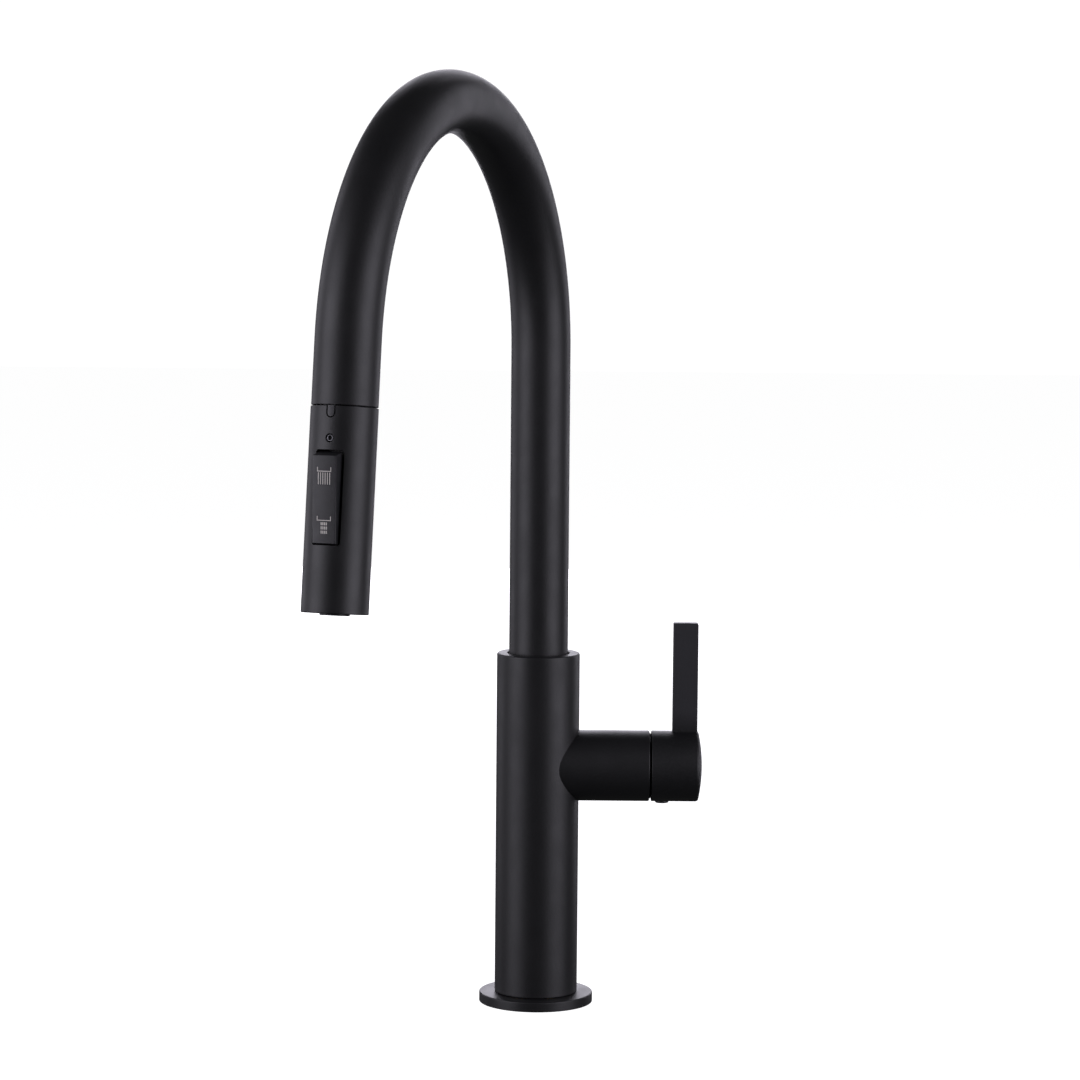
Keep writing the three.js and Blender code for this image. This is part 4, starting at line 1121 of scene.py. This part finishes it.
def make_icons():
    """Lines for the spray at the top of the rocker, and rows of dots for the stream at its bottom."""
    bm = bmesh.new()
    bracket(bm, SPRAY_ICON.bracket)
    pitch = (SPRAY_ICON.width - ICON.line) / (SPRAY_ICON.lines - 1)
    for i in range(SPRAY_ICON.lines):
        left = -SPRAY_ICON.width / 2 + i * pitch
        inlay(bm, left, left + ICON.line, SPRAY_ICON.bottom, SPRAY_ICON.top)
    bracket(bm, STREAM_ICON.bracket)
    column_pitch = STREAM_ICON.width / STREAM_ICON.columns
    row_pitch = (STREAM_ICON.top - STREAM_ICON.bottom) / STREAM_ICON.rows
    for i in range(STREAM_ICON.columns):
        left = -STREAM_ICON.width / 2 + i * column_pitch + column_pitch * STREAM_DOT.column_gap
        right = left + column_pitch * STREAM_DOT.column_fill
        for j in range(STREAM_ICON.rows):
            low = STREAM_ICON.bottom + j * row_pitch + row_pitch * STREAM_DOT.row_gap
            inlay(bm, left, right, low, low + row_pitch * STREAM_DOT.row_fill)
    dress(to_object("rocker_icons", bm, ROCKER_PLACE), "rocker", "icon_paint")


# ---------------------------------------------------------------- spray face


def make_nozzles():
    mat = lathed("nozzle_pad", ring_section(MAT), WAND_PLACE, ROUND, closed=True)
    outline = (
        (NOZZLE.base, MAT.bottom + NOZZLE.root),
        (NOZZLE.base, MAT.bottom),
        (NOZZLE.tip + NOZZLE.taper, NOZZLE.end + NOZZLE.chamfer),
        (NOZZLE.tip - NOZZLE.taper, NOZZLE.end),
        (NOZZLE.hole, NOZZLE.end),
        (NOZZLE.hole, NOZZLE.end + NOZZLE.depth),
    )
    bm = bmesh.new()
    for ring_radius, count in NOZZLE_RINGS:
        for i in range(count):
            angle = 2 * math.pi * i / count
            centre = Vector((ring_radius * math.cos(angle), ring_radius * math.sin(angle), 0))
            loft(bm, [[centre + point for point in circle(r, z, TINY)] for r, z in outline])
    join(mat, to_object("nozzles", bm, WAND_PLACE))
    dress(mat, "wand", "silicone", "nozzle_mat")


def grid_cells():
    """Centres of the hexagonal cells that fit inside the aerator's rim."""
    room = AERATOR.inner - GRID.pitch / 2
    for i in range(-GRID.reach, GRID.reach + 1):
        for j in range(-GRID.reach, GRID.reach + 1):
            x = (i + (j % 2) / 2) * GRID.pitch
            y = j * GRID.pitch * math.sqrt(3) / 2
            if math.hypot(x, y) <= room:
                yield Vector((x, y, 0))


def make_aerator():
    """Round insert with a slotted rim and a grid across the water's way."""
    insert = lathed("aerator", ring_section(AERATOR), WAND_PLACE, ROUND, closed=True)
    slots = []
    low = (-GRID.radius, -AERATOR_SLOT.half, AERATOR.bottom - PAST)
    high = (GRID.radius, AERATOR_SLOT.half, AERATOR.bottom + AERATOR_SLOT.depth)
    for i in range(AERATOR_SLOT.count):
        turn = Matrix.Rotation(math.pi * (i + 0.5) / AERATOR_SLOT.count, 4, "Z")
        slots.append(block(low, high, WAND_PLACE @ turn))
    cut(insert, *slots)
    disc = rod(GRID.radius, GRID.bottom, GRID.top, WAND_PLACE, MEDIUM)
    bm = bmesh.new()
    for centre in grid_cells():
        ends = (GRID.bottom - PAST, GRID.top + PAST)
        loft(bm, [[centre + point for point in hexagon(GRID.cell, z, 6)] for z in ends])
    cut(disc, to_object("cells", bm, WAND_PLACE))
    join(insert, disc)
    dress(insert, "wand", "black_plastic", "aerator_insert")


def make_face_ring():
    ring = lathed("face_rim", ring_section(FACE_RING), WAND_PLACE, ROUND, closed=True)
    dress(ring, "wand", "black_plastic", "face_ring")


# ---------------------------------------------------------------- carried-over CAD pieces

INNER_FINISHES = {
    "grey_plastic": ("lower_bush", "upper_bush", "check_valve", "diverter_spool", "spray_plate"),
    "white_plastic": ("cartridge_base", "disc_driver", "cartridge_rotor", "cartridge_housing"),
    "brass": (
        "valve_seat", "mixed_water_nipple", "supply_nipple_hot", "supply_nipple_cold", "cartridge_nut",
        "cartridge_stem", "swivel_sleeve", "hose_tail_coupling",
    ),
    "steel": ("stem_pin", "handle_set_screw", "rocker_pin"),
    "ceramic": ("ceramic_disc_fixed", "ceramic_disc_moving"),
    "rubber": ("cartridge_base_seal", "swivel_o_ring", "docking_o_ring", "hose_seal", "spool_o_ring"),
    "braid": ("pull_hose",),
}


def dress_inner_nodes():
    """Gives the CAD pieces that aren't replaced their finishes, in place of the CAD's plain colours."""
    for finish, names in INNER_FINISHES.items():
        for name in names:
            for slot in frame["nodes"][name].material_slots:
                slot.material = MATERIALS[finish]


# ---------------------------------------------------------------- assembly

make_camera()
make_world()
make_lights()
make_floor()
MATERIALS = make_materials()

make_base_ring()
make_gasket()
make_insert()
make_column()
make_stop_screw()
make_handle()
make_cover_ring()
make_spout()
make_docking_collar()
make_hose()
make_wand_shell()
make_wand_screw()
make_core()
make_hose_nut()
make_rocker()
make_icons()
make_nozzles()
make_aerator()
make_face_ring()
dress_inner_nodes()
